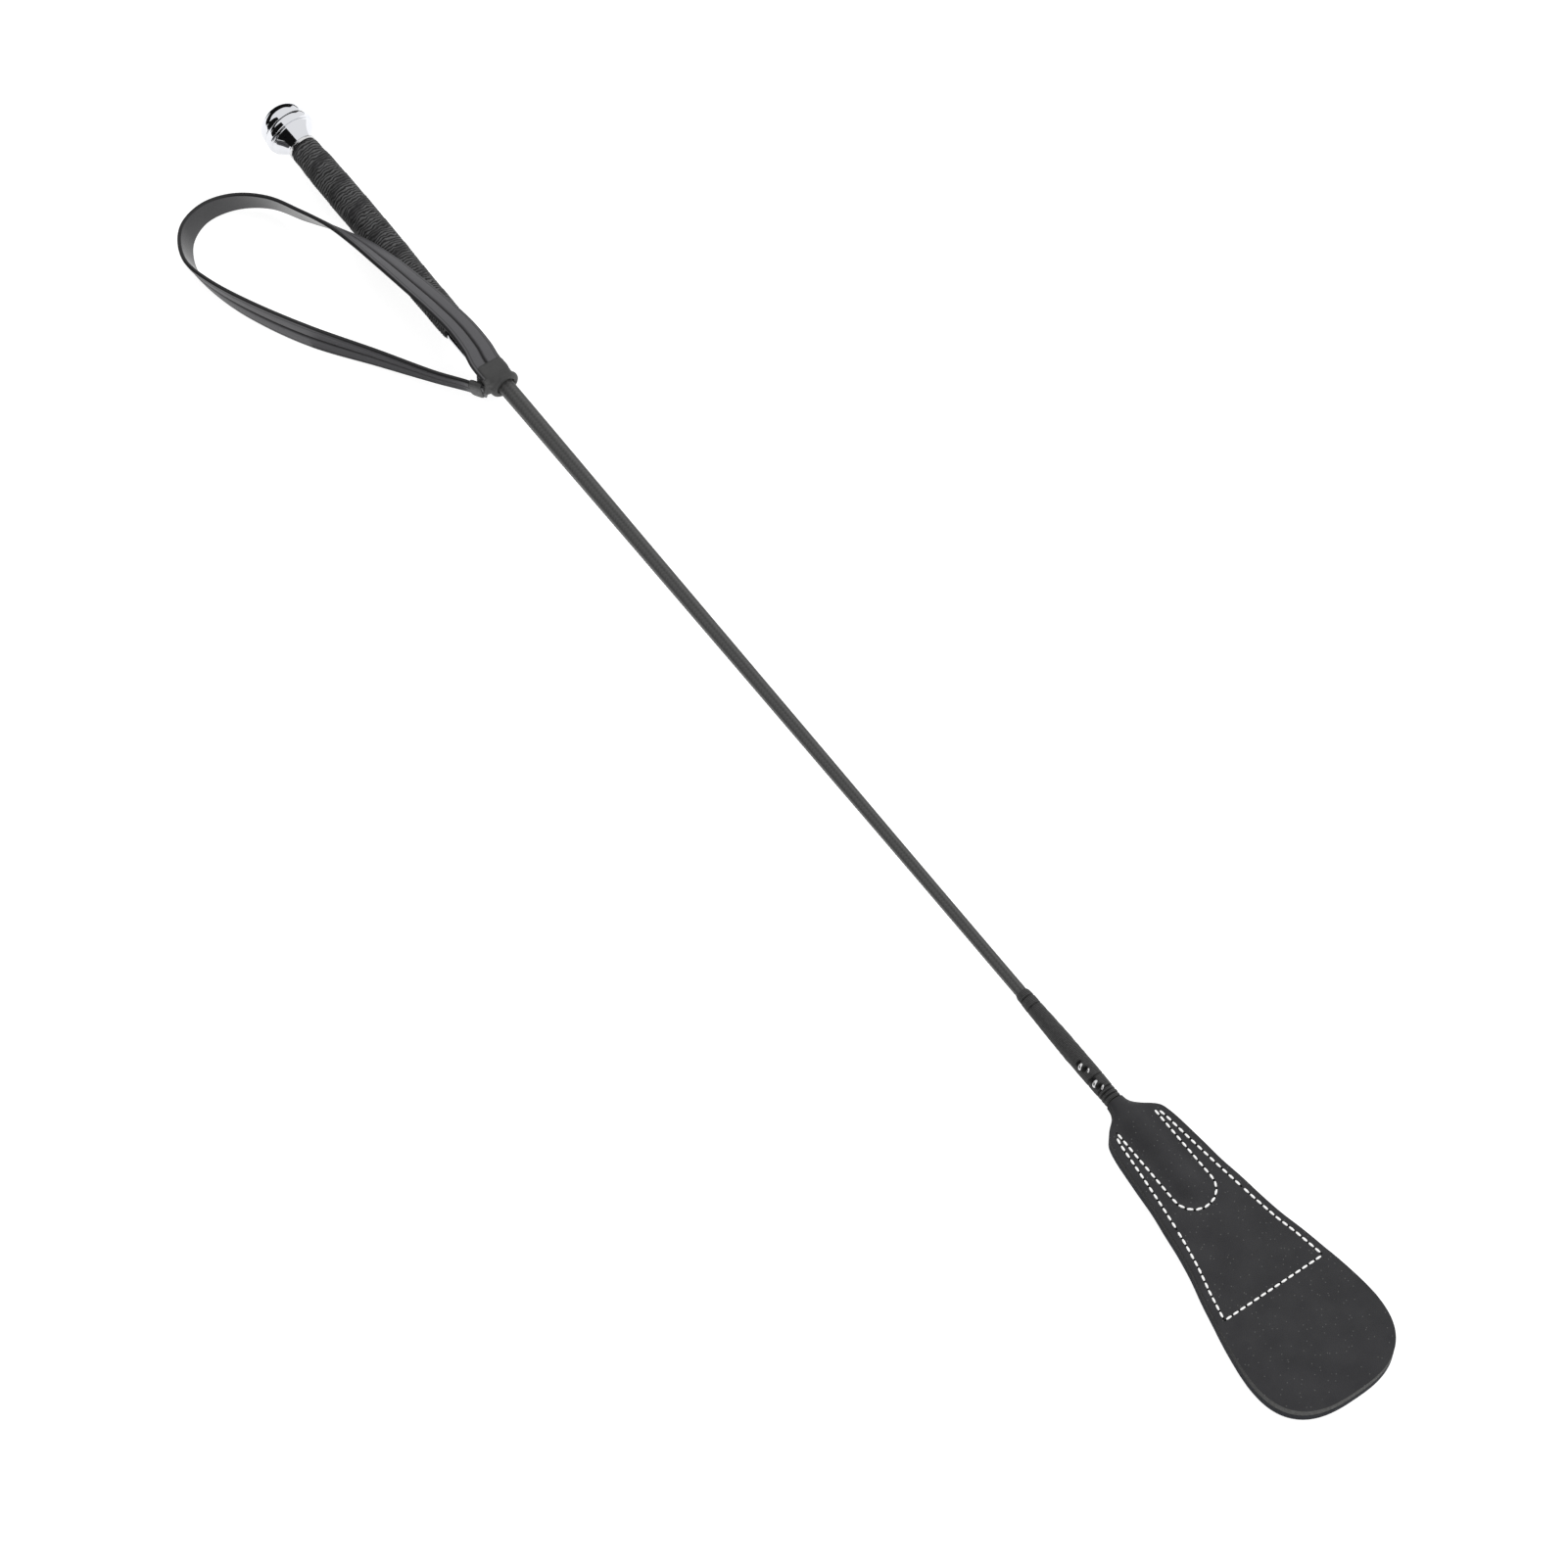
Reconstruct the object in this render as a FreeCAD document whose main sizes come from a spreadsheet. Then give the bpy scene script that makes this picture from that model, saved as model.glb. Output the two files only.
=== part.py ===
import FreeCAD, Part
import math
import os
import re
import Sketcher
from FreeCAD import Placement, Rotation, Vector

# Riding crop lying on a table. +X runs along the shaft from the butt cap to the leather tongue,
# +Z is up off the tongue's upper face, and the origin is the middle of the butt cap's flat end.

SIZES = {
    # butt cap: positions along the crop and radii
    "butt_flat_radius": 3.5, "dome_edge": 3.6, "dome_edge_radius": 9.1, "dome_radius": 8.5,
    "crown_edge": 5.4, "crown_end": 8.2, "crown_radius": 10.0,
    "first_groove": 8.6, "first_groove_radius": 9.7,
    "flange_start": 9.0, "flange_end": 12.5, "flange_edge_radius": 10.2, "flange_arc_radius": 4.03,
    "second_groove": 12.8, "second_groove_radius": 9.7, "ring_start": 13.1, "ring_end": 13.6,
    "ring_radius": 9.95, "flare_start": 13.9, "flare_start_radius": 9.4, "flare_middle": 16.2,
    "flare_middle_radius": 7.7, "flare_arc_radius": 7.0, "flare_end": 18.4, "cap_neck_radius": 5.85,
    "cap_end": 19.4, "cap_bore_radius": 3.7, "cap_bore_floor": 9.0,
    "bezel_start": 19.5, "bezel_end": 20.9, "bezel_radius": 6.2, "bezel_edge": 0.3,
    # handle
    "nose_start": 12.0, "nose_radius": 3.6, "core_tube_start": 21.0, "core_tube_end": 127.6,
    "core_tube_radius": 4.9, "core_tail_radius": 3.9, "core_tail_end": 147.0,
    "grip_start": 21.2, "grip_shoulder": 22.6, "grip_neck": 27.0, "grip_swell": 36.0, "grip_belly": 54.0,
    "grip_waist": 84.0, "grip_foot": 100.0, "grip_end": 127.3, "grip_edge": 0.7,
    "grip_mouth_radius": 5.4, "grip_neck_radius": 6.1, "grip_swell_radius": 6.5,
    "grip_belly_radius": 6.7, "grip_waist_radius": 6.5, "grip_foot_radius": 6.1,
    "ferrule_start": 127.7, "ferrule_taper": 143.0, "ferrule_end": 148.2, "ferrule_radius": 5.3,
    "ferrule_end_radius": 4.5, "ferrule_edge": 0.5,
    # shaft
    "rod_start": 10.0, "rod_taper_start": 148.0, "rod_taper_end": 500.0, "rod_end": 603.0,
    "rod_radius": 2.85, "rod_tip_radius": 1.85,
    "cover_start": 149.0, "cover_quarter": 248.0, "cover_half": 372.0, "cover_narrow": 455.0,
    "cover_end": 504.0, "cover_radius": 3.55, "cover_quarter_radius": 3.11,
    "cover_half_radius": 2.71, "cover_end_radius": 2.48,
    "tip_cap_start": 597.0, "tip_cap_end": 607.0, "tip_cap_radius": 2.6,
    # strap collar
    "collar_start": 148.4, "collar_end": 161.0, "collar_radius": 6.1, "collar_lip": 2.0,
    "collar_bore_radius": 3.6, "saddle_start": 150.8, "saddle_step": 157.0, "saddle_end": 160.0,
    "saddle_under": 1.35, "saddle_over": 0.95, "saddle_margin": 0.4, "saddle_left": 7.6,
    "saddle_low_sole": 0.0, "saddle_high_sole": -1.0,
    # wrist strap
    "strap_width": 12.7, "strap_thickness": 1.8, "loop_swing_x": 150.0, "loop_swing_z": 6.8,
    "sleeve_wall": 1.0, "sleeve_gap": 0.1, "sleeve_length": 5.0, "sleeve_offset": 0.8,
    # thread whipping and its wire staples
    "whipping_start": 497.7, "whipping_ramp": 502.0, "whipping_full": 525.0,
    "whipping_swell": 541.0, "whipping_end": 555.0, "whipping_start_radius": 2.8,
    "whipping_ramp_radius": 3.1, "whipping_full_radius": 3.65, "whipping_end_radius": 3.45,
    "staple_wire": 0.6, "staple_ring_radius": 3.8, "first_staple": 538.5, "second_staple": 547.5,
    "staple_clearing": 10.0,
    # leather tongue
    "tail_start": 504.0, "tail_full": 512.0, "tail_start_radius": 2.52, "tail_radius": 3.05,
    "tail_end": 555.2, "leaf_thickness": 4.0, "pocket_start": 560.0, "pocket_end": 604.0,
    "pocket_dome": 609.5, "pocket_radius": 5.85, "neck_half_width": 3.4, "shoulder_start": 560.0,
    "shoulder_start_half": 5.0, "shoulder": 571.0, "shoulder_half": 12.7,
    "waist": 600.0, "waist_half": 16.5,
    "flex_at": 615.0, "flex_half": 18.5, "flex_gap": 0.3, "flex_shoulder": 1.58,
    "widening": 635.0, "widening_half": 22.4, "flap_at": 656.0, "flap_half": 26.8,
    "flap_shoulder": 1.14, "flap_gap": 0.15, "widest": 676.0, "widest_half": 29.6,
    "turn": 690.0, "turn_half": 27.3, "corner": 700.0, "corner_half": 18.0, "flap_end": 703.0,
    "side_arc": 120.0, "widest_arc": 50.0, "corner_arc": 17.0, "tip_arc": 55.5,
    "flex_width": 36.6, "flap_width": 53.2, "stitched_width": 90.0, "parting_depth": 27.0,
    "droop": 4.3,
    "flap_middle": 2.075, "flap_roll_radius": 1.925, "flap_seat_radius": 2.225,
    # stitching
    "stitch_pitch": 3.3, "stitch_length": 2.1, "stitch_width": 0.8, "stitch_height": 0.35,
    "pocket_line_start": 568.5, "pocket_line_half": 8.7, "pocket_line_turn": 603.3,
    "edge_line_start": 570.5, "edge_line_start_half": 12.8, "edge_line_inset": 3.0,
    "edge_line_break": 613.0, "edge_line_break_half": 18.2,
    "side_line_start": 616.6, "side_line_start_half": 18.8,
    "edge_line_end": 651.5, "edge_line_end_half": 25.9, "cross_line": 652.5,
}

# The wrist strap's route from the top of the collar, over the grip, round the hand's loop and
# back to the collar's left side: x, y, z of its middle, and the lean of its outer face from up.
STRAP_ROUTE = [
    (150, -2.4, 6.9, 6), (143, -1.4, 7.5, 13), (132, -1.4, 8.5, 19), (119, -3.2, 9.8, 23),
    (105, -5.8, 10.7, 27), (91, -8.2, 10.7, 32), (76, -10.7, 8.9, 43), (62, -13.9, 5.4, 59),
    (47, -19.1, 1, 71), (32.5, -25.3, -2.1, 75), (23.4, -35.7, -3.5, 84), (20.6, -48.5, -3.9, 95),
    (25.4, -60.2, -4.1, 109), (37, -66.7, -4.1, 112), (50, -65.8, -3.9, 104), (69, -59.6, -3.9, 92),
    (93, -47.8, -3.9, 86), (118, -31.9, -3.5, 95), (139, -19, -2.8, 104), (150, -11.5, -2.2, 106),
]
STRAP_FREE_START = 4.0      # the free loop starts this far along the route from the collar
STRAP_FREE_END = 3.0        # and stops this far before the route's end
STRAP_SECTIONS = 72

doc = FreeCAD.newDocument("riding_crop")
sheet = doc.addObject("Spreadsheet::Sheet", "dimensions")
for row, (alias, value) in enumerate(SIZES.items(), start=1):
    sheet.set(f"A{row}", alias)
    sheet.set(f"B{row}", str(value))
    sheet.setAlias(f"B{row}", alias)
doc.recompute()

SUBPARTS = []


def size(alias):
    """A size as the sheet holds it."""
    return float(sheet.get(alias))


def amount(text):
    """Value of a sum of cell names, such as "grip_end - grip_edge"."""
    total = 0.0
    for sign, name in re.findall(r"([+-]?)\s*([a-z_]+)", text):
        total += -SIZES[name] if sign == "-" else SIZES[name]
    return total


def cells(text):
    return re.sub(r"([a-z_]+)", r"dimensions.\1", text)


def bind(target, path, text):
    target.setExpression(path, cells(text))


def add_body(label, is_subpart=True):
    body = doc.addObject("PartDesign::Body", label)
    body.Label = label
    body.Placement = Placement()
    if is_subpart:
        SUBPARTS.append(body)
    return body


def add_sketch(body, role, name):
    plane = next(item for item in body.Origin.OriginFeatures if item.Role == role)
    sketch = body.newObject("Sketcher::SketchObject", name)
    sketch.AttachmentSupport = (plane, "")
    sketch.MapMode = "FlatFace"
    return sketch


def locate(sketch, edge, point, coordinate, axis):
    """Tie one coordinate of a sketch point to the sheet; None keeps the point on that axis."""
    if coordinate is None:
        on_axis = -2 if axis == "X" else -1
        sketch.addConstraint(Sketcher.Constraint("PointOnObject", edge, point, on_axis))
        return
    kind = "Distance" + axis
    text = coordinate.lstrip("-") if coordinate.startswith("-") else coordinate
    low = coordinate.startswith("-")
    ends = (edge, point, -1, 1) if low else (-1, 1, edge, point)
    index = sketch.addConstraint(Sketcher.Constraint(kind, *ends, amount(text)))
    bind(sketch, f"Constraints[{index}]", text)


def spot(corner):
    def number(text):
        if text is None:
            return 0.0
        return -amount(text[1:]) if text.startswith("-") else amount(text)
    return Vector(number(corner[0]), number(corner[1]), 0)


def draw_outline(sketch, corners):
    """A closed outline. A corner is (x, y), or (x, y, radius, side) where the edge that leaves it
    is an arc: side +1 bulges to the left of the way the outline runs, and -1 to the right."""
    count = len(corners)
    starts = []
    for index, corner in enumerate(corners):
        begin, end = spot(corner), spot(corners[(index + 1) % count])
        if len(corner) == 2:
            starts.append((sketch.addGeometry(Part.LineSegment(begin, end), False), 1))
            continue
        radius, side = amount(corner[2]), corner[3]
        chord = end - begin
        left = Vector(-chord.y, chord.x, 0).normalize()
        reach = math.sqrt(max(radius ** 2 - (chord.Length / 2) ** 2, 0))
        centre = (begin + end) * 0.5 - left * (side * reach)
        low, high = (begin, end) if side < 0 else (end, begin)
        turn = [math.atan2(p.y - centre.y, p.x - centre.x) for p in (low, high)]
        if turn[1] < turn[0]:
            turn[1] += 2 * math.pi
        arc = Part.ArcOfCircle(Part.Circle(centre, Vector(0, 0, 1), radius), turn[0], turn[1])
        edge = sketch.addGeometry(arc, False)
        sizing = sketch.addConstraint(Sketcher.Constraint("Radius", edge, radius))
        bind(sketch, f"Constraints[{sizing}]", corner[2])
        starts.append((edge, 1 if side < 0 else 2))
    for index, corner in enumerate(corners):
        edge, point = starts[index]
        before, its_start = starts[index - 1]
        its_end = 2 if its_start == 1 else 1
        sketch.addConstraint(Sketcher.Constraint("Coincident", before, its_end, edge, point))
        locate(sketch, edge, point, corner[0], "X")
        locate(sketch, edge, point, corner[1], "Y")


def revolve(body, name, corners, groove=False):
    sketch = add_sketch(body, "XY_Plane", name + "_profile")
    draw_outline(sketch, corners)
    kind = "PartDesign::Groove" if groove else "PartDesign::Revolution"
    feature = body.newObject(kind, name)
    feature.Profile = sketch
    feature.ReferenceAxis = (sketch, ["H_Axis"])
    feature.Angle = 360.0
    return feature


def pad_outline(body, name, corners, thickness, up, base=None):
    """A flat layer above or below the XY plane, or above or below the height that base names."""
    sketch = add_sketch(body, "XY_Plane", name + "_outline")
    if base is not None:
        bind(sketch, "AttachmentOffset.Base.z", base)
    draw_outline(sketch, corners)
    feature = body.newObject("PartDesign::Pad", name)
    feature.Profile = sketch
    bind(feature, "Length", thickness)
    feature.Reversed = not up
    return feature


def cut_half(body, name, lower):
    """Takes away the half of a body that lies below or above the XY plane."""
    sketch = add_sketch(body, "XY_Plane", name + "_outline")
    draw_outline(sketch, [("rod_taper_start", "-widest"), ("flap_end", "-widest"),
                          ("flap_end", "widest"), ("rod_taper_start", "widest")])
    feature = body.newObject("PartDesign::Pocket", name)
    feature.Profile = sketch
    bind(feature, "Length", "parting_depth")
    feature.Reversed = not lower
    return feature


def mirrored_outline(side):
    """Both sides of an outline from its left side, given from the shaft end to the tongue end."""
    corners = list(side)
    for index in range(len(side) - 1, -1, -1):
        place, reach = side[index][:2]
        leaving = side[index - 1][2:] if index else ()
        if reach is None:
            corners[-1] = (place, None) + leaving
        else:
            corners.append((place, "-" + reach) + leaving)
    return corners


def round_feature(body, kind, name, place, height, radius, width):
    """A round bar (Pad) or seat (Pocket) that runs across the crop, centred at place and height."""
    sketch = add_sketch(body, "XZ_Plane", name + "_round")
    centre = spot((place, height))
    edge = sketch.addGeometry(Part.Circle(centre, Vector(0, 0, 1), amount(radius)), False)
    locate(sketch, edge, 3, place, "X")
    locate(sketch, edge, 3, height, "Y")
    sizing = sketch.addConstraint(Sketcher.Constraint("Radius", edge, amount(radius)))
    bind(sketch, f"Constraints[{sizing}]", radius)
    feature = body.newObject(kind, name)
    feature.Profile = sketch
    bind(feature, "Length", width)
    feature.Midplane = True
    return feature


# ---- handle end ----

cap = add_body("butt_cap")
revolve(cap, "cap_turning", [
    (None, None), (None, "butt_flat_radius", "dome_radius", 1), ("dome_edge", "dome_edge_radius"),
    ("crown_edge", "crown_radius"), ("crown_end", "crown_radius"),
    ("first_groove", "first_groove_radius"),
    ("flange_start", "flange_edge_radius", "flange_arc_radius", 1), ("flange_end", "flange_edge_radius"),
    ("second_groove", "second_groove_radius"), ("ring_start", "ring_radius"), ("ring_end", "ring_radius"),
    ("flare_start", "flare_start_radius", "flare_arc_radius", 1),
    ("flare_middle", "flare_middle_radius", "flare_arc_radius", -1),
    ("flare_end", "cap_neck_radius"), ("cap_end", "cap_neck_radius"),
    ("cap_end", "cap_bore_radius"), ("cap_bore_floor", "cap_bore_radius"), ("cap_bore_floor", None),
])

bezel = add_body("grip_bezel_ring")
revolve(bezel, "bezel_turning", [
    ("bezel_start", "nose_radius"), ("bezel_start", "bezel_radius - bezel_edge"),
    ("bezel_start + bezel_edge", "bezel_radius"), ("bezel_end - bezel_edge", "bezel_radius"),
    ("bezel_end", "bezel_radius - bezel_edge"), ("bezel_end", "nose_radius"),
])

core_tube = add_body("handle_core_tube")
revolve(core_tube, "tube_turning", [
    ("nose_start", "rod_radius"), ("nose_start", "nose_radius"), ("core_tube_start", "nose_radius"),
    ("core_tube_start", "core_tube_radius"), ("core_tube_end", "core_tube_radius"),
    ("core_tube_end", "core_tail_radius"), ("core_tail_end", "core_tail_radius"),
    ("core_tail_end", "rod_radius"),
])

grip = add_body("grip_tape")
revolve(grip, "tape_winding", [
    ("grip_start", "core_tube_radius"), ("grip_start", "grip_mouth_radius"),
    ("grip_shoulder", "grip_neck_radius"), ("grip_neck", "grip_neck_radius"),
    ("grip_swell", "grip_swell_radius"), ("grip_belly", "grip_belly_radius"),
    ("grip_waist", "grip_waist_radius"), ("grip_foot", "grip_foot_radius"),
    ("grip_end - grip_edge", "grip_foot_radius"), ("grip_end", "grip_foot_radius - grip_edge"),
    ("grip_end", "core_tube_radius"),
])

ferrule = add_body("lower_ferrule")
revolve(ferrule, "ferrule_turning", [
    ("ferrule_start", "core_tail_radius"), ("ferrule_start", "ferrule_radius - ferrule_edge"),
    ("ferrule_start + ferrule_edge", "ferrule_radius"), ("ferrule_taper", "ferrule_radius"),
    ("ferrule_end", "ferrule_end_radius"), ("ferrule_end", "core_tail_radius"),
])

# ---- shaft ----

rod = add_body("fibreglass_rod")
revolve(rod, "rod_turning", [
    ("rod_start", None), ("rod_start", "rod_radius"), ("rod_taper_start", "rod_radius"),
    ("rod_taper_end", "rod_tip_radius"), ("rod_end", "rod_tip_radius"), ("rod_end", None),
])

cover = add_body("braided_shaft_cover")
revolve(cover, "cover_braid", [
    ("cover_start", "rod_radius"), ("cover_start", "cover_radius"),
    ("cover_quarter", "cover_quarter_radius"), ("cover_half", "cover_half_radius"),
    ("cover_narrow", "cover_end_radius"), ("cover_end", "cover_end_radius"),
    ("cover_end", "rod_tip_radius"), ("rod_taper_end", "rod_tip_radius"),
])

tip_cap = add_body("rod_tip_cap")
revolve(tip_cap, "tip_cap_moulding", [
    ("tip_cap_start", "rod_tip_radius"), ("tip_cap_start", "tip_cap_radius"),
    ("tip_cap_end - tip_cap_radius", "tip_cap_radius", "tip_cap_radius", 1),
    ("tip_cap_end", None), ("rod_end", None), ("rod_end", "rod_tip_radius"),
])

whipping = add_body("tip_whipping")
revolve(whipping, "whipping_winding", [
    ("whipping_start", "cover_end_radius"), ("whipping_start", "whipping_start_radius"),
    ("whipping_ramp", "whipping_ramp_radius"), ("whipping_full", "whipping_full_radius"),
    ("whipping_swell", "whipping_full_radius"), ("whipping_end", "whipping_end_radius"),
    ("whipping_end", "tail_radius"), ("tail_full", "tail_radius"),
    ("tail_start", "tail_start_radius"), ("tail_start", "cover_end_radius"),
])


def wire_staples():
    """Two half rings of wire that clamp the leather tails to the rod, legs pointing down."""
    solids = []
    reach = size("staple_clearing")
    for place in ("first_staple", "second_staple"):
        ring = Part.makeTorus(size("staple_ring_radius"), size("staple_wire"),
                              Vector(size(place), 0, 0), Vector(1, 0, 0))
        below = Part.makeBox(2 * reach, 2 * reach, reach, Vector(size(place) - reach, -reach, -reach))
        solids.append(ring.cut(below).Solids[0])
    return Part.makeCompound(solids)


def add_feature(label, shape):
    feature = doc.addObject("Part::Feature", label)
    feature.Label = label
    feature.Shape = shape
    feature.Placement = Placement()
    SUBPARTS.append(feature)
    return feature


add_feature("neck_staples", wire_staples())

# ---- strap collar and wrist strap ----


def strap_frames():
    """Middle, outer normal and width direction of the strap at even steps along its route."""
    points = [Vector(*station[:3]) for station in STRAP_ROUTE]
    curve = Part.BSplineCurve()
    curve.interpolate(points)
    knots = [curve.parameter(point) for point in points]
    length = curve.length()
    frames = []
    for step in range(STRAP_SECTIONS + 1):
        along = STRAP_FREE_START + (length - STRAP_FREE_START - STRAP_FREE_END) * step / STRAP_SECTIONS
        place = curve.parameterAtDistance(along)
        ahead = curve.tangent(place)[0]
        span = max(index for index in range(len(knots) - 1) if knots[index] <= place)
        share = (place - knots[span]) / (knots[span + 1] - knots[span])
        lean = STRAP_ROUTE[span][3] * (1 - share) + STRAP_ROUTE[span + 1][3] * share
        frames.append(strap_frame(curve.value(place), ahead, lean))
    return frames


def strap_frame(middle, ahead, lean):
    outward = ahead.cross(Vector(0, 0, 1)).normalize()
    upward = outward.cross(ahead).normalize()
    turn = math.radians(lean)
    normal = upward * math.cos(turn) + outward * math.sin(turn)
    return middle, normal, ahead.cross(normal)


def strap_section(middle, normal, across, thickness, width):
    corners = [middle + normal * (thickness / 2 * up) + across * (width / 2 * side)
               for up, side in ((1, 1), (1, -1), (-1, -1), (-1, 1))]
    return Part.makePolygon(corners + corners[:1])


def strap_solid(frames, thickness, width):
    sections = [strap_section(*frame, thickness, width) for frame in frames]
    return Part.makeLoft(sections, True, True).Solids[0]


free_frames = strap_frames()
add_feature("wrist_strap", strap_solid(free_frames, size("strap_thickness"), size("strap_width")))

# The strap's two ends go straight into the collar: the middle of each, from its mouth inwards.
TOP_LEAN = STRAP_ROUTE[0][3]
LEFT_LEAN = STRAP_ROUTE[-1][3]
TOP_END = [Vector(151, -2.4, 6.87), Vector(156.8, -2.4, 6.7)]
LEFT_END = [Vector(150.6, -11.2, -2.2), Vector(156.4, -7.4, -2.2)]
SADDLE_SIDE = [(-3, -4.2), (4.6, -2), (5.6, 2.6)]    # y and z of the collar's wrap below the strap


def end_frames(points, lean, ahead):
    return [strap_frame(point, ahead, lean) for point in points]


top_frames = end_frames(TOP_END, TOP_LEAN, Vector(-1, 0, 0.04).normalize())
left_ahead = (LEFT_END[1] - LEFT_END[0]).normalize()
left_frames = end_frames(LEFT_END, LEFT_LEAN, left_ahead)
ends = [strap_solid(frames, size("strap_thickness"), size("strap_width"))
        for frames in (top_frames, left_frames)]
add_feature("wrist_strap_ends", Part.makeCompound(ends))


def sleeve_tube():
    gap, wall = size("sleeve_gap"), size("sleeve_wall")
    first = LEFT_END[0] + left_ahead * size("sleeve_offset")
    frames = end_frames([first, first + left_ahead * size("sleeve_length")], LEFT_LEAN, left_ahead)
    inner = strap_solid(frames, size("strap_thickness") + gap, size("strap_width") + gap)
    outer = strap_solid(frames, size("strap_thickness") + gap + 2 * wall,
                        size("strap_width") + gap + 2 * wall)
    return outer.cut(inner).Solids[0]


add_feature("strap_sleeve", sleeve_tube())


def saddle_block(start, end, rise, sole):
    """Part of the collar under the strap's top end, from start to end along the shaft."""
    turn = math.radians(TOP_LEAN)
    middle = Vector(start, TOP_END[0].y, TOP_END[0].z + rise)
    across = Vector(0, math.cos(turn), -math.sin(turn))
    half = size("strap_width") / 2 - size("saddle_margin")
    corners = [middle + across * half, middle - across * half, Vector(start, -size("saddle_left"), sole)]
    corners += [Vector(start, *side) for side in SADDLE_SIDE]
    face = Part.Face(Part.makePolygon(corners + corners[:1]))
    return face.extrude(Vector(end - start, 0, 0))


collar = add_body("collar_ring", is_subpart=False)
revolve(collar, "ring_moulding", [
    ("collar_start", "collar_bore_radius"), ("collar_start", "collar_radius - ferrule_edge"),
    ("collar_start + ferrule_edge", "collar_radius"),
    ("collar_end - collar_lip", "collar_radius", "collar_lip", 1),
    ("collar_end", "collar_radius - collar_lip"), ("collar_end", "collar_bore_radius"),
])
low_saddle = saddle_block(size("saddle_start"), size("saddle_step"), -size("saddle_under"),
                          size("saddle_low_sole"))
high_saddle = saddle_block(size("saddle_step"), size("saddle_end"), size("saddle_over"),
                           size("saddle_high_sole"))
doc.recompute()
shaft_way = Part.makeCylinder(size("collar_bore_radius"), size("collar_end") - size("core_tube_end"),
                              Vector(size("core_tube_end"), 0, 0), Vector(1, 0, 0))
collar_shape = collar.Shape.fuse([low_saddle, high_saddle]).removeSplitter().cut(shaft_way)
add_feature("strap_collar", collar_shape.Solids[0])

# ---- leather tongue: two leaves, each in a neck, a middle and a free flap ----


def signed(name, up):
    return name if up else "-" + name


def leaf_neck(label, up):
    """The leaf's stiff end: a half shell round the rod, then the flat leaf with the rod's pocket."""
    body = add_body(label)
    pad_outline(body, label + "_leaf", mirrored_outline([
        ("tail_end", "neck_half_width"), ("shoulder_start", "shoulder_start_half"),
        ("shoulder", "shoulder_half"), ("waist", "waist_half"),
        ("flex_at - flex_shoulder", "flex_half"),
    ]), "leaf_thickness", up)
    revolve(body, label + "_shell", [
        ("tail_start", None), ("tail_start", "tail_start_radius"), ("tail_full", "tail_radius"),
        ("tail_end", "tail_radius"), ("pocket_start", "pocket_radius"),
        ("pocket_end", "pocket_radius"), ("pocket_dome", "leaf_thickness - flex_gap"),
        ("pocket_dome", None),
    ])
    cut_half(body, label + "_parting", lower=up)
    revolve(body, label + "_rod_way", [
        ("rod_taper_end", None), ("rod_taper_end", "rod_tip_radius"),
        ("tip_cap_start", "rod_tip_radius"), ("tip_cap_start", "tip_cap_radius"),
        ("tip_cap_end", "tip_cap_radius"), ("tip_cap_end", None),
    ], groove=True)
    round_feature(body, "PartDesign::Pocket", label + "_flex_seat", "flex_at", None,
                  "leaf_thickness + flex_gap", "stitched_width")
    return body


def leaf_middle(label, up):
    """The stitched part of a leaf, with a rounded end that rolls in the neck's seat."""
    body = add_body(label)
    pad_outline(body, label + "_leaf", mirrored_outline([
        ("flex_at", "flex_half"), ("widening", "widening_half"),
        ("flap_at - flap_shoulder", "flap_half"),
    ]), "leaf_thickness", up)
    round_feature(body, "PartDesign::Pad", label + "_roll", "flex_at", None,
                  "leaf_thickness", "flex_width")
    cut_half(body, label + "_parting", lower=up)
    round_feature(body, "PartDesign::Pocket", label + "_flap_seat", "flap_at",
                  signed("flap_middle", up), "flap_seat_radius", "stitched_width")
    return body


def leaf_flap(label, up):
    """The free end of a leaf, with a rounded root that rolls in the middle part's seat."""
    body = add_body(label)
    pad_outline(body, label + "_leaf", mirrored_outline([
        ("flap_at", "flap_half", "side_arc", 1), ("widest", "widest_half", "widest_arc", 1),
        ("turn", "turn_half", "corner_arc", 1), ("corner", "corner_half", "tip_arc", 1),
        ("flap_end", None),
    ]), "leaf_thickness - flap_gap", up, signed("flap_gap", up))
    round_feature(body, "PartDesign::Pad", label + "_roll", "flap_at", signed("flap_middle", up),
                  "flap_roll_radius", "flap_width")
    return body


leaf_neck("upper_leaf_neck", True)
leaf_neck("lower_leaf_neck", False)
drooping = [leaf_middle("upper_leaf_middle", True), leaf_middle("lower_leaf_middle", False),
            leaf_flap("upper_leaf_flap", True), leaf_flap("lower_leaf_flap", False)]

# ---- stitching: thread that shows on both faces of the tongue ----


def line_through(points):
    return [Part.LineSegment(first, second).toShape() for first, second in zip(points, points[1:])]


def pocket_seam():
    half = size("pocket_line_half")
    start, turn = size("pocket_line_start"), size("pocket_line_turn")
    bend = Part.Arc(Vector(turn, half, 0), Vector(turn + half, 0, 0), Vector(turn, -half, 0))
    return [[Part.LineSegment(Vector(start, half, 0), Vector(turn, half, 0)).toShape(),
             bend.toShape(),
             Part.LineSegment(Vector(turn, -half, 0), Vector(start, -half, 0)).toShape()]]


def side_seams(stations):
    seams = []
    for side in (1, -1):
        seams.append(line_through([Vector(size(place), side * (size(half) - size("edge_line_inset")), 0)
                                   for place, half in stations]))
    return seams


def cross_seam():
    half = size("flap_half") - size("edge_line_inset") - size("stitch_width")
    return [line_through([Vector(size("cross_line"), half, 0), Vector(size("cross_line"), -half, 0)])]


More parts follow.
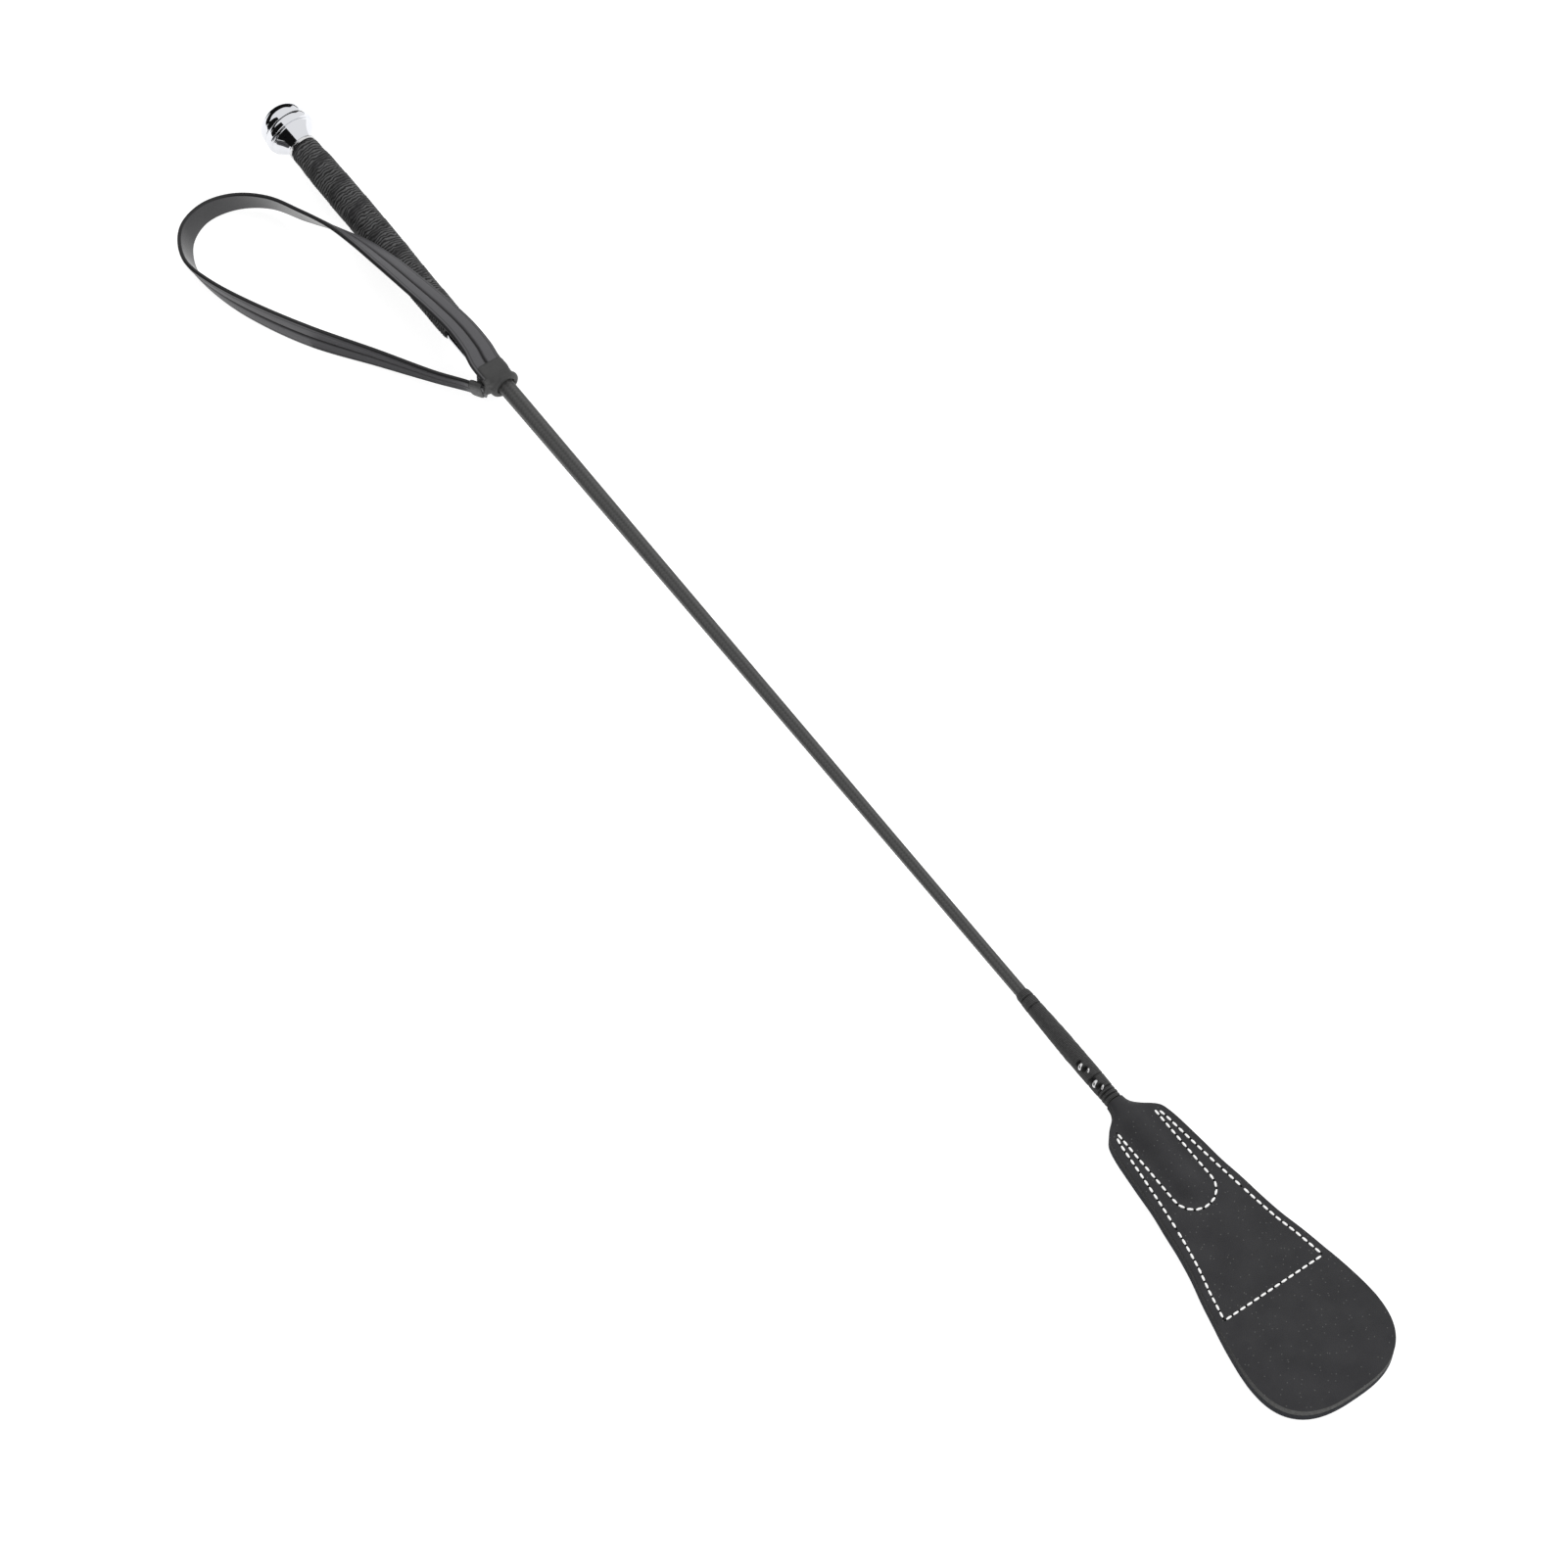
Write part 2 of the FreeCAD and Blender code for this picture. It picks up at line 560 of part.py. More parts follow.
def stitches(seams):
    """A small block of thread for each stitch, lying on the upper face and on the lower face."""
    solids = []
    for edges in seams:
        length = sum(edge.Length for edge in edges)
        count = int(length / size("stitch_pitch"))
        for index in range(count):
            along = length * (index + 0.5) / count
            for edge in edges:
                if along <= edge.Length:
                    break
                along -= edge.Length
            place = edge.getParameterByLength(along)
            middle, ahead = edge.valueAt(place), edge.tangentAt(place)
            turn = math.degrees(math.atan2(ahead.y, ahead.x))
            for height in (size("leaf_thickness"), -size("leaf_thickness") - size("stitch_height")):
                block = Part.makeBox(size("stitch_length"), size("stitch_width"), size("stitch_height"),
                                     Vector(-size("stitch_length") / 2, -size("stitch_width") / 2, 0))
                block.Placement = Placement(middle + Vector(0, 0, height),
                                            Rotation(Vector(0, 0, 1), turn))
                solids.append(block)
    return Part.makeCompound(solids)


add_feature("pocket_stitching", stitches(pocket_seam()))
add_feature("neck_edge_stitching", stitches(side_seams(
    [("edge_line_start", "edge_line_start_half"), ("waist", "waist_half"),
     ("edge_line_break", "edge_line_break_half")])))
drooping.append(add_feature("side_edge_stitching", stitches(side_seams(
    [("side_line_start", "side_line_start_half"), ("widening", "widening_half"),
     ("edge_line_end", "edge_line_end_half")]))))
drooping.append(add_feature("cross_stitching", stitches(cross_seam())))

# The tongue past the rod's pocket droops until its tip lies level with the cap's flange.
for item in drooping:
    item.Placement = Placement(Vector(0, 0, 0), Rotation(Vector(0, 1, 0), size("droop")),
                               Vector(size("flex_at"), 0, 0))

doc.recompute()
faults = [item.Name for item in doc.Objects if {"Invalid", "Error"} & set(item.State)]
faults += [item.Label for item in SUBPARTS if item.Shape.isNull() or not item.Shape.isValid()]
if faults:
    raise RuntimeError(f"failed objects: {faults}")

os.makedirs("parts", exist_ok=True)
for item in SUBPARTS:
    box = item.Shape.BoundBox
    print(f"{item.Label:22s} solids {len(item.Shape.Solids):3d}  volume {item.Shape.Volume:9.1f}  "
          f"x {box.XMin:6.1f} {box.XMax:6.1f}  y {box.YMin:6.1f} {box.YMax:6.1f}  "
          f"z {box.ZMin:6.1f} {box.ZMax:6.1f}")
    item.Shape.exportStep(os.path.join("parts", item.Label + ".step"))
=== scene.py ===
import math

import bpy
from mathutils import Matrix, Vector, noise


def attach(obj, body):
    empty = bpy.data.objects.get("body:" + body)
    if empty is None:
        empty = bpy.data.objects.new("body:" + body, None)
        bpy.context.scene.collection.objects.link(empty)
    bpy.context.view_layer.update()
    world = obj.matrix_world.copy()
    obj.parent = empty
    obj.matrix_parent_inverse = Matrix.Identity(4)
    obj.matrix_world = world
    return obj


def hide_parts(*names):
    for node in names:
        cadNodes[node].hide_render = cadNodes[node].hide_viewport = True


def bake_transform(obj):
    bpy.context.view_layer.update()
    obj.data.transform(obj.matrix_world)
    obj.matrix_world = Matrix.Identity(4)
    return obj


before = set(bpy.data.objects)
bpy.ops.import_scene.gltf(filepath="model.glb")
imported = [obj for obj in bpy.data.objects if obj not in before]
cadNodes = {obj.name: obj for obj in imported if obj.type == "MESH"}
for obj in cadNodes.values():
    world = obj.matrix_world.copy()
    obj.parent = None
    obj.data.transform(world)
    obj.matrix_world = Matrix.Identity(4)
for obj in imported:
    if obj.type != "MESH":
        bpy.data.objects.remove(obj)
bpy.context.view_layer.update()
mm = 0.001
fullTurn = 2 * math.pi
black, white = (0, 0, 0), (1, 1, 1)


# small helpers, all sizes in metres unless a name says mm

def deselectAll():
    if bpy.context.mode != "OBJECT":
        bpy.ops.object.mode_set(mode="OBJECT")
    bpy.ops.object.select_all(action="DESELECT")


def namePiece(name):
    piece = bpy.context.active_object
    piece.name = name
    piece.data.name = name
    return piece


def pickPiece(piece):
    # the only selected piece, and the active one
    deselectAll()
    piece.select_set(True)
    bpy.context.view_layer.objects.active = piece


def editPiece(piece, kind="VERT"):
    pickPiece(piece)
    bpy.ops.object.mode_set(mode="EDIT")
    bpy.ops.mesh.select_mode(type=kind)


def editAll(piece):
    editPiece(piece)
    bpy.ops.mesh.select_all(action="SELECT")


def placePiece(piece):
    # puts the object's place into its mesh
    pickPiece(piece)
    bpy.ops.object.transform_apply(location=True, rotation=True, scale=True)


def closeAndTurnOut(piece, weld=0.00001):
    # merges doubles, closes open ends and turns the faces outwards
    editAll(piece)
    bpy.ops.mesh.remove_doubles(threshold=weld)
    bpy.ops.mesh.select_all(action="DESELECT")
    bpy.ops.mesh.select_non_manifold()
    bpy.ops.mesh.fill_holes(sides=0)
    bpy.ops.mesh.select_all(action="SELECT")
    bpy.ops.mesh.normals_make_consistent(inside=False)
    bpy.ops.object.mode_set(mode="OBJECT")


def smoothPiece(piece, angle):
    pickPiece(piece)
    bpy.ops.object.shade_smooth_by_angle(angle=math.radians(angle))


def between(value, low, high):
    # soft step from 0 to 1
    share = min(max((value - low) / (high - low), 0.0), 1.0)
    return share * share * (3 - 2 * share)


def alongStations(stations, place):
    # smooth curve through (place, value) stations
    last = len(stations) - 1
    if place <= stations[0][0]:
        return stations[0][1]
    if place >= stations[last][0]:
        return stations[last][1]
    index = max(i for i in range(last) if stations[i][0] <= place)
    (x0, y0), (x1, y1) = stations[index], stations[index + 1]
    before = stations[max(index - 1, 0)]
    after = stations[min(index + 2, last)]
    gap = x1 - x0
    slopeIn = (y1 - before[1]) / (x1 - before[0])
    slopeOut = (after[1] - y0) / (after[0] - x0)
    t = (place - x0) / gap
    return ((2 * t**3 - 3 * t**2 + 1) * y0 + (t**3 - 2 * t**2 + t) * gap * slopeIn
            + (3 * t**2 - 2 * t**3) * y1 + (t**3 - t**2) * gap * slopeOut)


def joinPieces(pieces, name):
    deselectAll()
    for piece in pieces:
        piece.select_set(True)
    bpy.context.view_layer.objects.active = pieces[0]
    bpy.ops.object.join()
    return namePiece(name)


def applyModifier(piece, kind, **settings):
    pickPiece(piece)
    modifier = piece.modifiers.new(kind.lower(), kind)
    for key, value in settings.items():
        setattr(modifier, key, value)
    bpy.ops.object.modifier_apply(modifier=modifier.name)


def addAttribute(piece, name, values):
    attribute = piece.data.attributes.new(name, "FLOAT", "POINT")
    attribute.data.foreach_set("value", values)


class Finish:
    # nodes of one material, wired to its Principled shader

    def __init__(self, name):
        self.material = bpy.data.materials.new(name)
        self.material.use_nodes = True
        self.tree = self.material.node_tree
        self.shader = self.tree.nodes["Principled BSDF"]
        self.coordinates = self.add("ShaderNodeTexCoord").outputs["Object"]

    def add(self, kind, **inputs):
        node = self.tree.nodes.new(kind)
        for key, value in inputs.items():
            node.inputs[key].default_value = value
        return node

    def join(self, source, target):
        self.tree.links.new(source, target)

    def noise(self, scale, detail=4.0):
        node = self.add("ShaderNodeTexNoise", Scale=scale, Detail=detail, Roughness=0.55)
        self.join(self.coordinates, node.inputs["Vector"])
        return node.outputs["Fac"]

    def cells(self, scale, flat=False):
        node = self.add("ShaderNodeTexVoronoi", Scale=scale)
        if flat:
            node.voronoi_dimensions = "2D"
        self.join(self.coordinates, node.inputs["Vector"])
        return node.outputs["Distance"]

    def ramp(self, source, stops):
        node = self.add("ShaderNodeValToRGB")
        steps = node.color_ramp.elements
        while len(steps) < len(stops):
            steps.new(0.5)
        for step, (place, colour) in zip(steps, stops):
            step.position = place
            step.color = (*colour, 1)
        self.join(source, node.inputs["Fac"])
        return node.outputs["Color"]

    def mix(self, share, first, second):
        node = self.add("ShaderNodeMix")
        node.data_type = "RGBA"
        # a colour mix has its share at input 0, its colours at 6 and 7, and its result at output 2
        self.join(share, node.inputs[0])
        for value, socket in ((first, 6), (second, 7)):
            if isinstance(value, bpy.types.NodeSocket):
                self.join(value, node.inputs[socket])
            else:
                node.inputs[socket].default_value = (*value, 1)
        return node.outputs[2]

    def math(self, kind, first, second):
        node = self.add("ShaderNodeMath")
        node.operation = kind
        for index, value in enumerate((first, second)):
            if isinstance(value, bpy.types.NodeSocket):
                self.join(value, node.inputs[index])
            else:
                node.inputs[index].default_value = value
        return node.outputs[0]

    def attribute(self, name):
        node = self.add("ShaderNodeAttribute")
        node.attribute_name = name
        return node.outputs["Fac"]

    def colour(self, source):
        self.join(source, self.shader.inputs["Base Color"])

    def roughness(self, source, low, high):
        node = self.add("ShaderNodeMapRange")
        node.inputs["To Min"].default_value = low
        node.inputs["To Max"].default_value = high
        self.join(source, node.inputs["Value"])
        self.join(node.outputs["Result"], self.shader.inputs["Roughness"])

    def bump(self, source, height, strength):
        node = self.add("ShaderNodeBump", Strength=strength, Distance=height)
        self.join(source, node.inputs["Height"])
        self.join(node.outputs["Normal"], self.shader.inputs["Normal"])

    def fixed(self, **values):
        for key, value in values.items():
            self.shader.inputs[key.replace("_", " ")].default_value = value


def cloudyFinish(name, look):
    # two tones in soft clouds, with an uneven polish
    finish = Finish(name)
    finish.colour(finish.mix(finish.noise(*look["cloud"]), *look["tones"]))
    finish.roughness(finish.noise(*look["polish"]), *look["rough"])
    return finish


def leatherFinish(name, look):
    # soft clouds of tone, fine pores, and pale specks where the look has them
    finish = Finish(name)
    cloud = finish.ramp(finish.noise(90, 5), [(0.35, black), (0.65, white)])
    tone = finish.mix(cloud, *look["tones"])
    if "specks" in look:
        dots = finish.ramp(finish.cells(look["speckScale"], flat=True), [(0.03, white), (0.09, black)])
        picked = finish.math("GREATER_THAN", finish.noise(260, 1), 0.5)
        dots = finish.math("MULTIPLY", finish.math("MULTIPLY", dots, picked), look["specks"])
        tone = finish.mix(dots, tone, look["speckTone"])
    finish.colour(tone)
    pores = finish.cells(look["grain"])
    finish.roughness(finish.noise(600, 3), *look["rough"])
    finish.bump(finish.math("ADD", pores, finish.noise(look["grain"] * 2, 3)), 0.00006, 0.55)
    finish.fixed(Specular_IOR_Level=look["specular"])
    return finish.material


print("making finishes")

# clouds and polish are noise scale and detail, tones are linear colours, rough is from and to
chromeLook = {"cloud": (60, 3), "tones": ((0.75, 0.76, 0.79), (0.67, 0.68, 0.71)),
              "polish": (900, 4), "rough": (0.03, 0.07)}
chrome = cloudyFinish("polishedChrome", chromeLook)
chrome.fixed(Metallic=1.0)

steelLook = {"cloud": (400, 3), "tones": ((0.80, 0.80, 0.80), (0.55, 0.55, 0.56)),
             "polish": (1500, 3), "rough": (0.16, 0.34)}
steel = cloudyFinish("brightWire", steelLook)
steel.fixed(Metallic=1.0)

tapeLook = {"crest": (0.11, 0.11, 0.112), "shadedHollow": (0.005, 0.005, 0.005),
            "smooth": (0.016, 0.016, 0.017), "dust": (0.02, 0.02, 0.02)}
tape = Finish("crinkledTape")
# the crinkle mark paints the tape's hollows dark as painted shade and its crests light as painted highlight
tapeHeight = tape.attribute("crinkle")
tapeTone = tape.mix(tapeHeight, tapeLook["shadedHollow"], tapeLook["crest"])
tapeTone = tape.mix(tape.attribute("smoothBand"), tapeTone, tapeLook["smooth"])
tape.colour(tape.mix(tape.math("MULTIPLY", tape.noise(1400, 5), 0.4), tapeTone, tapeLook["dust"]))
tape.roughness(tape.noise(2200, 3), 0.55, 0.8)
tape.bump(tape.noise(3500, 5), 0.00008, 0.6)
tape.fixed(Specular_IOR_Level=0.2)

braidLook = {"rib": (0.070, 0.070, 0.069), "gap": (0.010, 0.010, 0.010), "dust": (0.030, 0.030, 0.030)}
braid = Finish("knittedCover")
# the gaps between the cover's ribs and loops are painted dark here as painted shade, with the rib tops
# lighter
braidTone = braid.mix(braid.attribute("yarnShade"), braidLook["gap"], braidLook["rib"])
braid.colour(braid.mix(braid.math("MULTIPLY", braid.noise(2600, 4), 0.6), braidTone, braidLook["dust"]))
braid.roughness(braid.noise(1800, 3), 0.42, 0.65)
braid.bump(braid.noise(5200, 3), 0.00006, 0.7)
braid.fixed(Specular_IOR_Level=0.4, Sheen_Weight=0.15, Sheen_Roughness=0.4)

threadLook = {"turn": (0.085, 0.085, 0.085), "gap": (0.003, 0.003, 0.003), "dust": (0.010, 0.010, 0.010)}
thread = Finish("whippingThread")
# the gaps between turns, the band grooves and the staple dents are painted dark here as painted shade
threadTone = thread.mix(thread.attribute("yarnShade"), threadLook["gap"], threadLook["turn"])
thread.colour(thread.mix(thread.math("MULTIPLY", thread.noise(1300, 4), 0.6), threadTone, threadLook["dust"]))
thread.roughness(thread.noise(2400, 3), 0.45, 0.7)
thread.bump(thread.noise(5200, 3), 0.00006, 0.6)
thread.fixed(Specular_IOR_Level=0.22)

whiteThreadLook = {"cloud": (1500, 4), "tones": ((0.93, 0.93, 0.92), (0.74, 0.74, 0.73)),
                   "polish": (2600, 3), "rough": (0.5, 0.75)}
whiteThread = cloudyFinish("whiteThread", whiteThreadLook)
whiteThread.bump(whiteThread.noise(4200, 3), 0.0001, 0.8)

# near-black discs laid flush at the needle holes stand in for the shade inside the holes, a painted shadow
needleHoleShadowLook = {"cloud": (3000, 3), "tones": ((0.002, 0.002, 0.002), (0.007, 0.007, 0.007)),
                  "polish": (900, 4), "rough": (0.8, 0.95)}
needleHoleShadow = cloudyFinish("needleHoleShadow", needleHoleShadowLook)
needleHoleShadow.fixed(Specular_IOR_Level=0.05)

upperLeather = leatherFinish("upperLeather", {
    "tones": ((0.019, 0.019, 0.021), (0.025, 0.025, 0.027)), "rough": (0.48, 0.60), "specular": 0.26,
    "grain": 1700, "specks": 0.6, "speckScale": 330, "speckTone": (0.13, 0.13, 0.125)})
lowerLeather = leatherFinish("lowerLeather", {
    "tones": ((0.020, 0.021, 0.026), (0.028, 0.029, 0.034)), "rough": (0.55, 0.7), "specular": 0.25,
    "grain": 1700})
collarLeather = leatherFinish("collarLeather", {
    "tones": ((0.036, 0.036, 0.036), (0.046, 0.046, 0.046)), "rough": (0.42, 0.55), "specular": 0.30,
    "grain": 2400})


def cutEdgeFinish(name, dark, light, tipOnly=False):
    # raw fibres that lie along the cut, paler only near the tongue's tip where asked
    finish = Finish(name)
    stretch = finish.add("ShaderNodeMapping")
    stretch.inputs["Scale"].default_value = (1, 1, 3.5)
    finish.join(finish.coordinates, stretch.inputs["Vector"])
    fibres = finish.add("ShaderNodeTexNoise", Scale=900.0, Detail=6.0, Roughness=0.7)
    finish.join(stretch.outputs["Vector"], fibres.inputs["Vector"])
    tone = finish.ramp(fibres.outputs["Fac"], [(0.3, dark), (0.75, light)])
    if tipOnly:
        split = finish.add("ShaderNodeSeparateXYZ")
        finish.join(finish.coordinates, split.inputs[0])
        nearTip = finish.add("ShaderNodeMapRange")
        nearTip.inputs["From Min"].default_value = 0.660
        nearTip.inputs["From Max"].default_value = 0.694
        finish.join(split.outputs["X"], nearTip.inputs["Value"])
        tone = finish.mix(nearTip.outputs["Result"], (0.022, 0.022, 0.022), tone)
    finish.colour(tone)
    finish.roughness(fibres.outputs["Fac"], 0.75, 0.95)
    finish.bump(fibres.outputs["Fac"], 0.00025, 0.8)
    finish.fixed(Specular_IOR_Level=0.15)
    return finish.material


upperEdge = cutEdgeFinish("upperCutEdge", (0.028, 0.028, 0.028), (0.125, 0.125, 0.122), True)
lowerEdge = cutEdgeFinish("lowerCutEdge", (0.007, 0.008, 0.010), (0.030, 0.032, 0.038))

strapLook = {"outer": (0.074, 0.073, 0.078), "inner": (0.016, 0.016, 0.018),
             "cloud": (0.040, 0.040, 0.042), "creaseShade": (0.003, 0.003, 0.003)}
strap = Finish("strapLeather")
strapTone = strap.mix(strap.attribute("outerFace"), strapLook["inner"], strapLook["outer"])
strapTone = strap.mix(strap.math("MULTIPLY", strap.noise(220, 4), 0.25), strapTone, strapLook["cloud"])
# the seam, the pressed lines and the rounded edges are painted near black here as painted shade
strap.colour(strap.mix(strap.attribute("creaseShade"), strapTone, strapLook["creaseShade"]))
strap.roughness(strap.attribute("outerFace"), 0.24, 0.46)
strap.bump(strap.noise(1800, 4), 0.00004, 0.4)
strap.fixed(Specular_IOR_Level=0.30)

glassLook = {"dark": (0.42, 0.40, 0.28), "light": (0.66, 0.63, 0.48)}
glassRod = Finish("glassFibre")
glassRod.colour(glassRod.ramp(glassRod.noise(700, 5), [(0.3, glassLook["dark"]), (0.7, glassLook["light"])]))
glassRod.roughness(glassRod.noise(300), 0.2, 0.35)

plasticLook = {"dark": (0.02, 0.02, 0.022), "light": (0.04, 0.04, 0.042)}
plastic = Finish("darkPlastic")
plastic.colour(plastic.ramp(plastic.noise(500), [(0.3, plasticLook["dark"]), (0.7, plasticLook["light"])]))
plastic.roughness(plastic.noise(900), 0.45, 0.6)

# the inside parts keep their CAD shape
for nodeName, inside in (("fibreglass_rod", glassRod), ("handle_core_tube", plastic),
                         ("rod_tip_cap", plastic)):
    cadNodes[nodeName].data.materials.clear()
    cadNodes[nodeName].data.materials.append(inside.material)


def finishPiece(piece, material, body, replaced, smoothAngle=35):
    # body is a body's name, to which the piece is attached; when it is two bodies and the start and end of a
    # blend, these are not used and the piece's transform is only baked
    piece.data.materials.clear()
    for each in (material if isinstance(material, (list, tuple)) else [material]):
        piece.data.materials.append(each)
    smoothPiece(piece, smoothAngle)
    if isinstance(body, str):
        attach(piece, body)
    else:
        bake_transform(piece)
    if replaced:
        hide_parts(*replaced)


def turnPiece(name, rings, sides):
    # rings are (x, radius) in mm; each one is pulled out of the last
    start, radius = rings[0]
    deselectAll()
    bpy.ops.mesh.primitive_circle_add(vertices=sides, radius=radius * mm, fill_type="NOTHING",
                                      location=(start * mm, 0, 0), rotation=(0, math.pi / 2, 0))
    piece = namePiece(name)
    placePiece(piece)
    editAll(piece)
    for place, size in rings[1:]:
        step = ((place - start) * mm, 0, 0)
        bpy.ops.mesh.extrude_region_move(TRANSFORM_OT_translate={"value": step})
        bpy.ops.transform.resize(value=(1, size / radius, size / radius), center_override=(place * mm, 0, 0))
        start, radius = place, size
    bpy.ops.object.mode_set(mode="OBJECT")
    closeAndTurnOut(piece)
    return piece


def tubeBlank(name, first, last, sides, rings):
    # an even tube of 1 mm radius, rolled up from a grid, ready to be shaped
    deselectAll()
    bpy.ops.mesh.primitive_grid_add(x_subdivisions=rings, y_subdivisions=sides, size=2)
    piece = namePiece(name)
    for vertex in piece.data.vertices:
        angle = (vertex.co.y + 1) * math.pi
        place = first + (last - first) * (vertex.co.x + 1) / 2
        vertex.co = (place * mm, math.cos(angle) * mm, math.sin(angle) * mm)
    closeAndTurnOut(piece, 0.000002)
    return piece


def shapeTube(piece, outline, detailAt, marks):
    # detailAt(x in mm, angle) gives a height over the outline in mm, then one value for each mark
    core = {}
    kept = [[] for mark in marks]
    for vertex in piece.data.vertices:
        x = vertex.co.x / mm
        angle = math.atan2(vertex.co.z, vertex.co.y)
        ring = round(x, 2)
        if ring not in core:
            core[ring] = alongStations(outline, x)
        height, *values = detailAt(x, angle)
        vertex.co.y = (core[ring] + height) * mm * math.cos(angle)
        vertex.co.z = (core[ring] + height) * mm * math.sin(angle)
        for store, value in zip(kept, values):
            store.append(value)
    for mark, store in zip(marks, kept):
        addAttribute(piece, mark, store)
    closeAndTurnOut(piece)


print("turning the butt cap, its ring and the ferrule")

buttCapRings = [
    # domed end
    (0.0, 0.4), (0.0, 1.8), (0.0, 3.2), (0.2, 4.4), (0.55, 5.5), (1.05, 6.5), (1.75, 7.5), (2.6, 8.35),
    (3.6, 9.1), (4.6, 9.6), (5.5, 9.88), (6.6, 10.0), (7.6, 10.05), (8.15, 10.02),
    # groove, flange, groove and ring
    (8.35, 9.9), (8.5, 9.76), (8.68, 9.74), (8.82, 9.86), (9.0, 10.18), (9.4, 10.38), (10.0, 10.53),
    (10.8, 10.6), (11.6, 10.56), (12.2, 10.4), (12.5, 10.2), (12.66, 9.85), (12.8, 9.7), (12.95, 9.75),
    (13.1, 9.92), (13.35, 9.96), (13.58, 9.86), (13.7, 9.55),
    # bell-shaped neck
    (13.85, 9.42), (14.1, 9.33), (14.6, 9.05), (15.3, 8.52), (16.0, 7.9), (16.8, 7.2), (17.5, 6.62),
    (18.2, 6.15), (18.8, 5.92), (19.2, 5.87), (19.36, 5.75), (19.4, 5.5), (19.4, 3.9)]
buttCap = turnPiece("buttCap", buttCapRings, 96)
finishPiece(buttCap, chrome.material, "root", ["butt_cap"], 50)

bezelRings = [
    (19.5, 3.7), (19.5, 5.9), (19.6, 6.1), (19.8, 6.2), (20.6, 6.2), (20.8, 6.1), (20.9, 5.9), (20.9, 3.7)]
bezelRing = turnPiece("gripBezelRing", bezelRings + bezelRings[:1], 72)
finishPiece(bezelRing, steel.material, "root", ["grip_bezel_ring"])

ferruleRings = [
    (127.7, 3.95), (127.7, 4.8), (127.8, 5.1), (128.2, 5.3), (130, 5.3), (136, 5.3), (142.5, 5.3), (144, 5.2),
    (145.5, 5.0), (146.8, 4.75), (147.7, 4.5), (148.1, 4.3), (148.2, 4.1), (148.2, 3.95)]
lowerFerrule = turnPiece("lowerFerrule", ferruleRings + ferruleRings[:1], 72)
finishPiece(lowerFerrule, chrome.material, "root", ["lower_ferrule"], 50)

print("winding the grip tape")

gripTape = {"first": 21.2, "last": 127.3, "startFade": 1.6, "endFade": 1.2,
            "pitch": 1.27, "depth": 0.42, "sharpness": 1.3, "wavy": 0.6, "ripple": 0.25,
            "wrap": 13.6, "step": 0.22, "bandShare": 0.34, "bandCalm": 0.6,
            "outline": [(21.2, 5.6), (21.9, 6.0), (23, 6.14), (27, 6.18), (31, 6.5), (36, 6.58), (45, 6.7),
                        (54, 6.78), (66, 6.72), (84, 6.58), (92, 6.38), (100, 6.2), (114, 6.16),
                        (125.6, 6.12), (126.6, 5.95), (127.3, 5.4)]}


def gripDetail(x, angle):
    # crinkles across the tape, calmer in a spiral band where the wraps overlap
    look = gripTape
    side = Vector((x * 0.42, math.cos(angle) * 2.6, math.sin(angle) * 2.6))
    drift = noise.noise(side) * look["wavy"] + noise.noise(side * 2.3) * look["ripple"]
    ridge = 0.5 + 0.5 * math.cos(fullTurn * (x / look["pitch"] + drift + angle / fullTurn))
    ridge = ridge ** look["sharpness"]
    turns = (x / look["wrap"] - angle / fullTurn) % 1.0
    band = between(turns, 0.0, 0.05) * (1 - between(turns, look["bandShare"] - 0.1, look["bandShare"]))
    band *= 0.6 + 0.4 * noise.noise(side * 1.4 + Vector((9, 3, 1)))
    fade = between(x, look["first"], look["first"] + look["startFade"])
    fade *= 1 - between(x, look["last"] - look["endFade"], look["last"])
    uneven = 0.7 + 0.5 * noise.noise(side * 0.8 + Vector((2, 7, 4)))
    crinkle = (ridge - 1) * look["depth"] * (1 - look["bandCalm"] * band) * uneven
    return (crinkle - look["step"] * turns * 0.6) * fade, ridge, band


grip = tubeBlank("gripTape", gripTape["first"], gripTape["last"], 112, 560)
shapeTube(grip, gripTape["outline"], gripDetail, ("crinkle", "smoothBand"))
finishPiece(grip, tape.material, "root", ["grip_tape"], 60)

print("knitting the shaft cover")

shaftCover = {"first": 149.0, "last": 504.0, "ribs": 9, "ribHeight": 0.17,
              "stitch": 1.5, "stitchHeight": 0.08,
              "outline": [(149, 3.55), (179, 3.47), (222, 3.25), (247, 3.11), (289, 2.96), (331, 2.83),
                          (372, 2.72), (413, 2.56), (454, 2.49), (504, 2.48)]}


def coverDetail(x, angle):
    # lengthwise ribs of knitted loops, with a mark that paints the gaps between ribs and loops dark as
    # painted shade
    look = shaftCover
    across = angle / fullTurn * look["ribs"]
    rib = 0.5 + 0.5 * math.cos(fullTurn * across)
    lean = abs((across % 1.0) - 0.5) * 2
    loop = 0.5 + 0.5 * math.cos(fullTurn * (x / look["stitch"] + 0.5 * lean))
    height = look["ribHeight"] * (rib - 1) + look["stitchHeight"] * (loop - 1)
    return height, min(1.0, 0.25 + 0.45 * rib + 0.35 * loop)


cover = tubeBlank("braidedShaftCover", shaftCover["first"], shaftCover["last"], 80, 1000)
shapeTube(cover, shaftCover["outline"], coverDetail, ("yarnShade",))
finishPiece(cover, braid.material, "root", ["braided_shaft_cover"], 60)

print("winding the tip whipping")

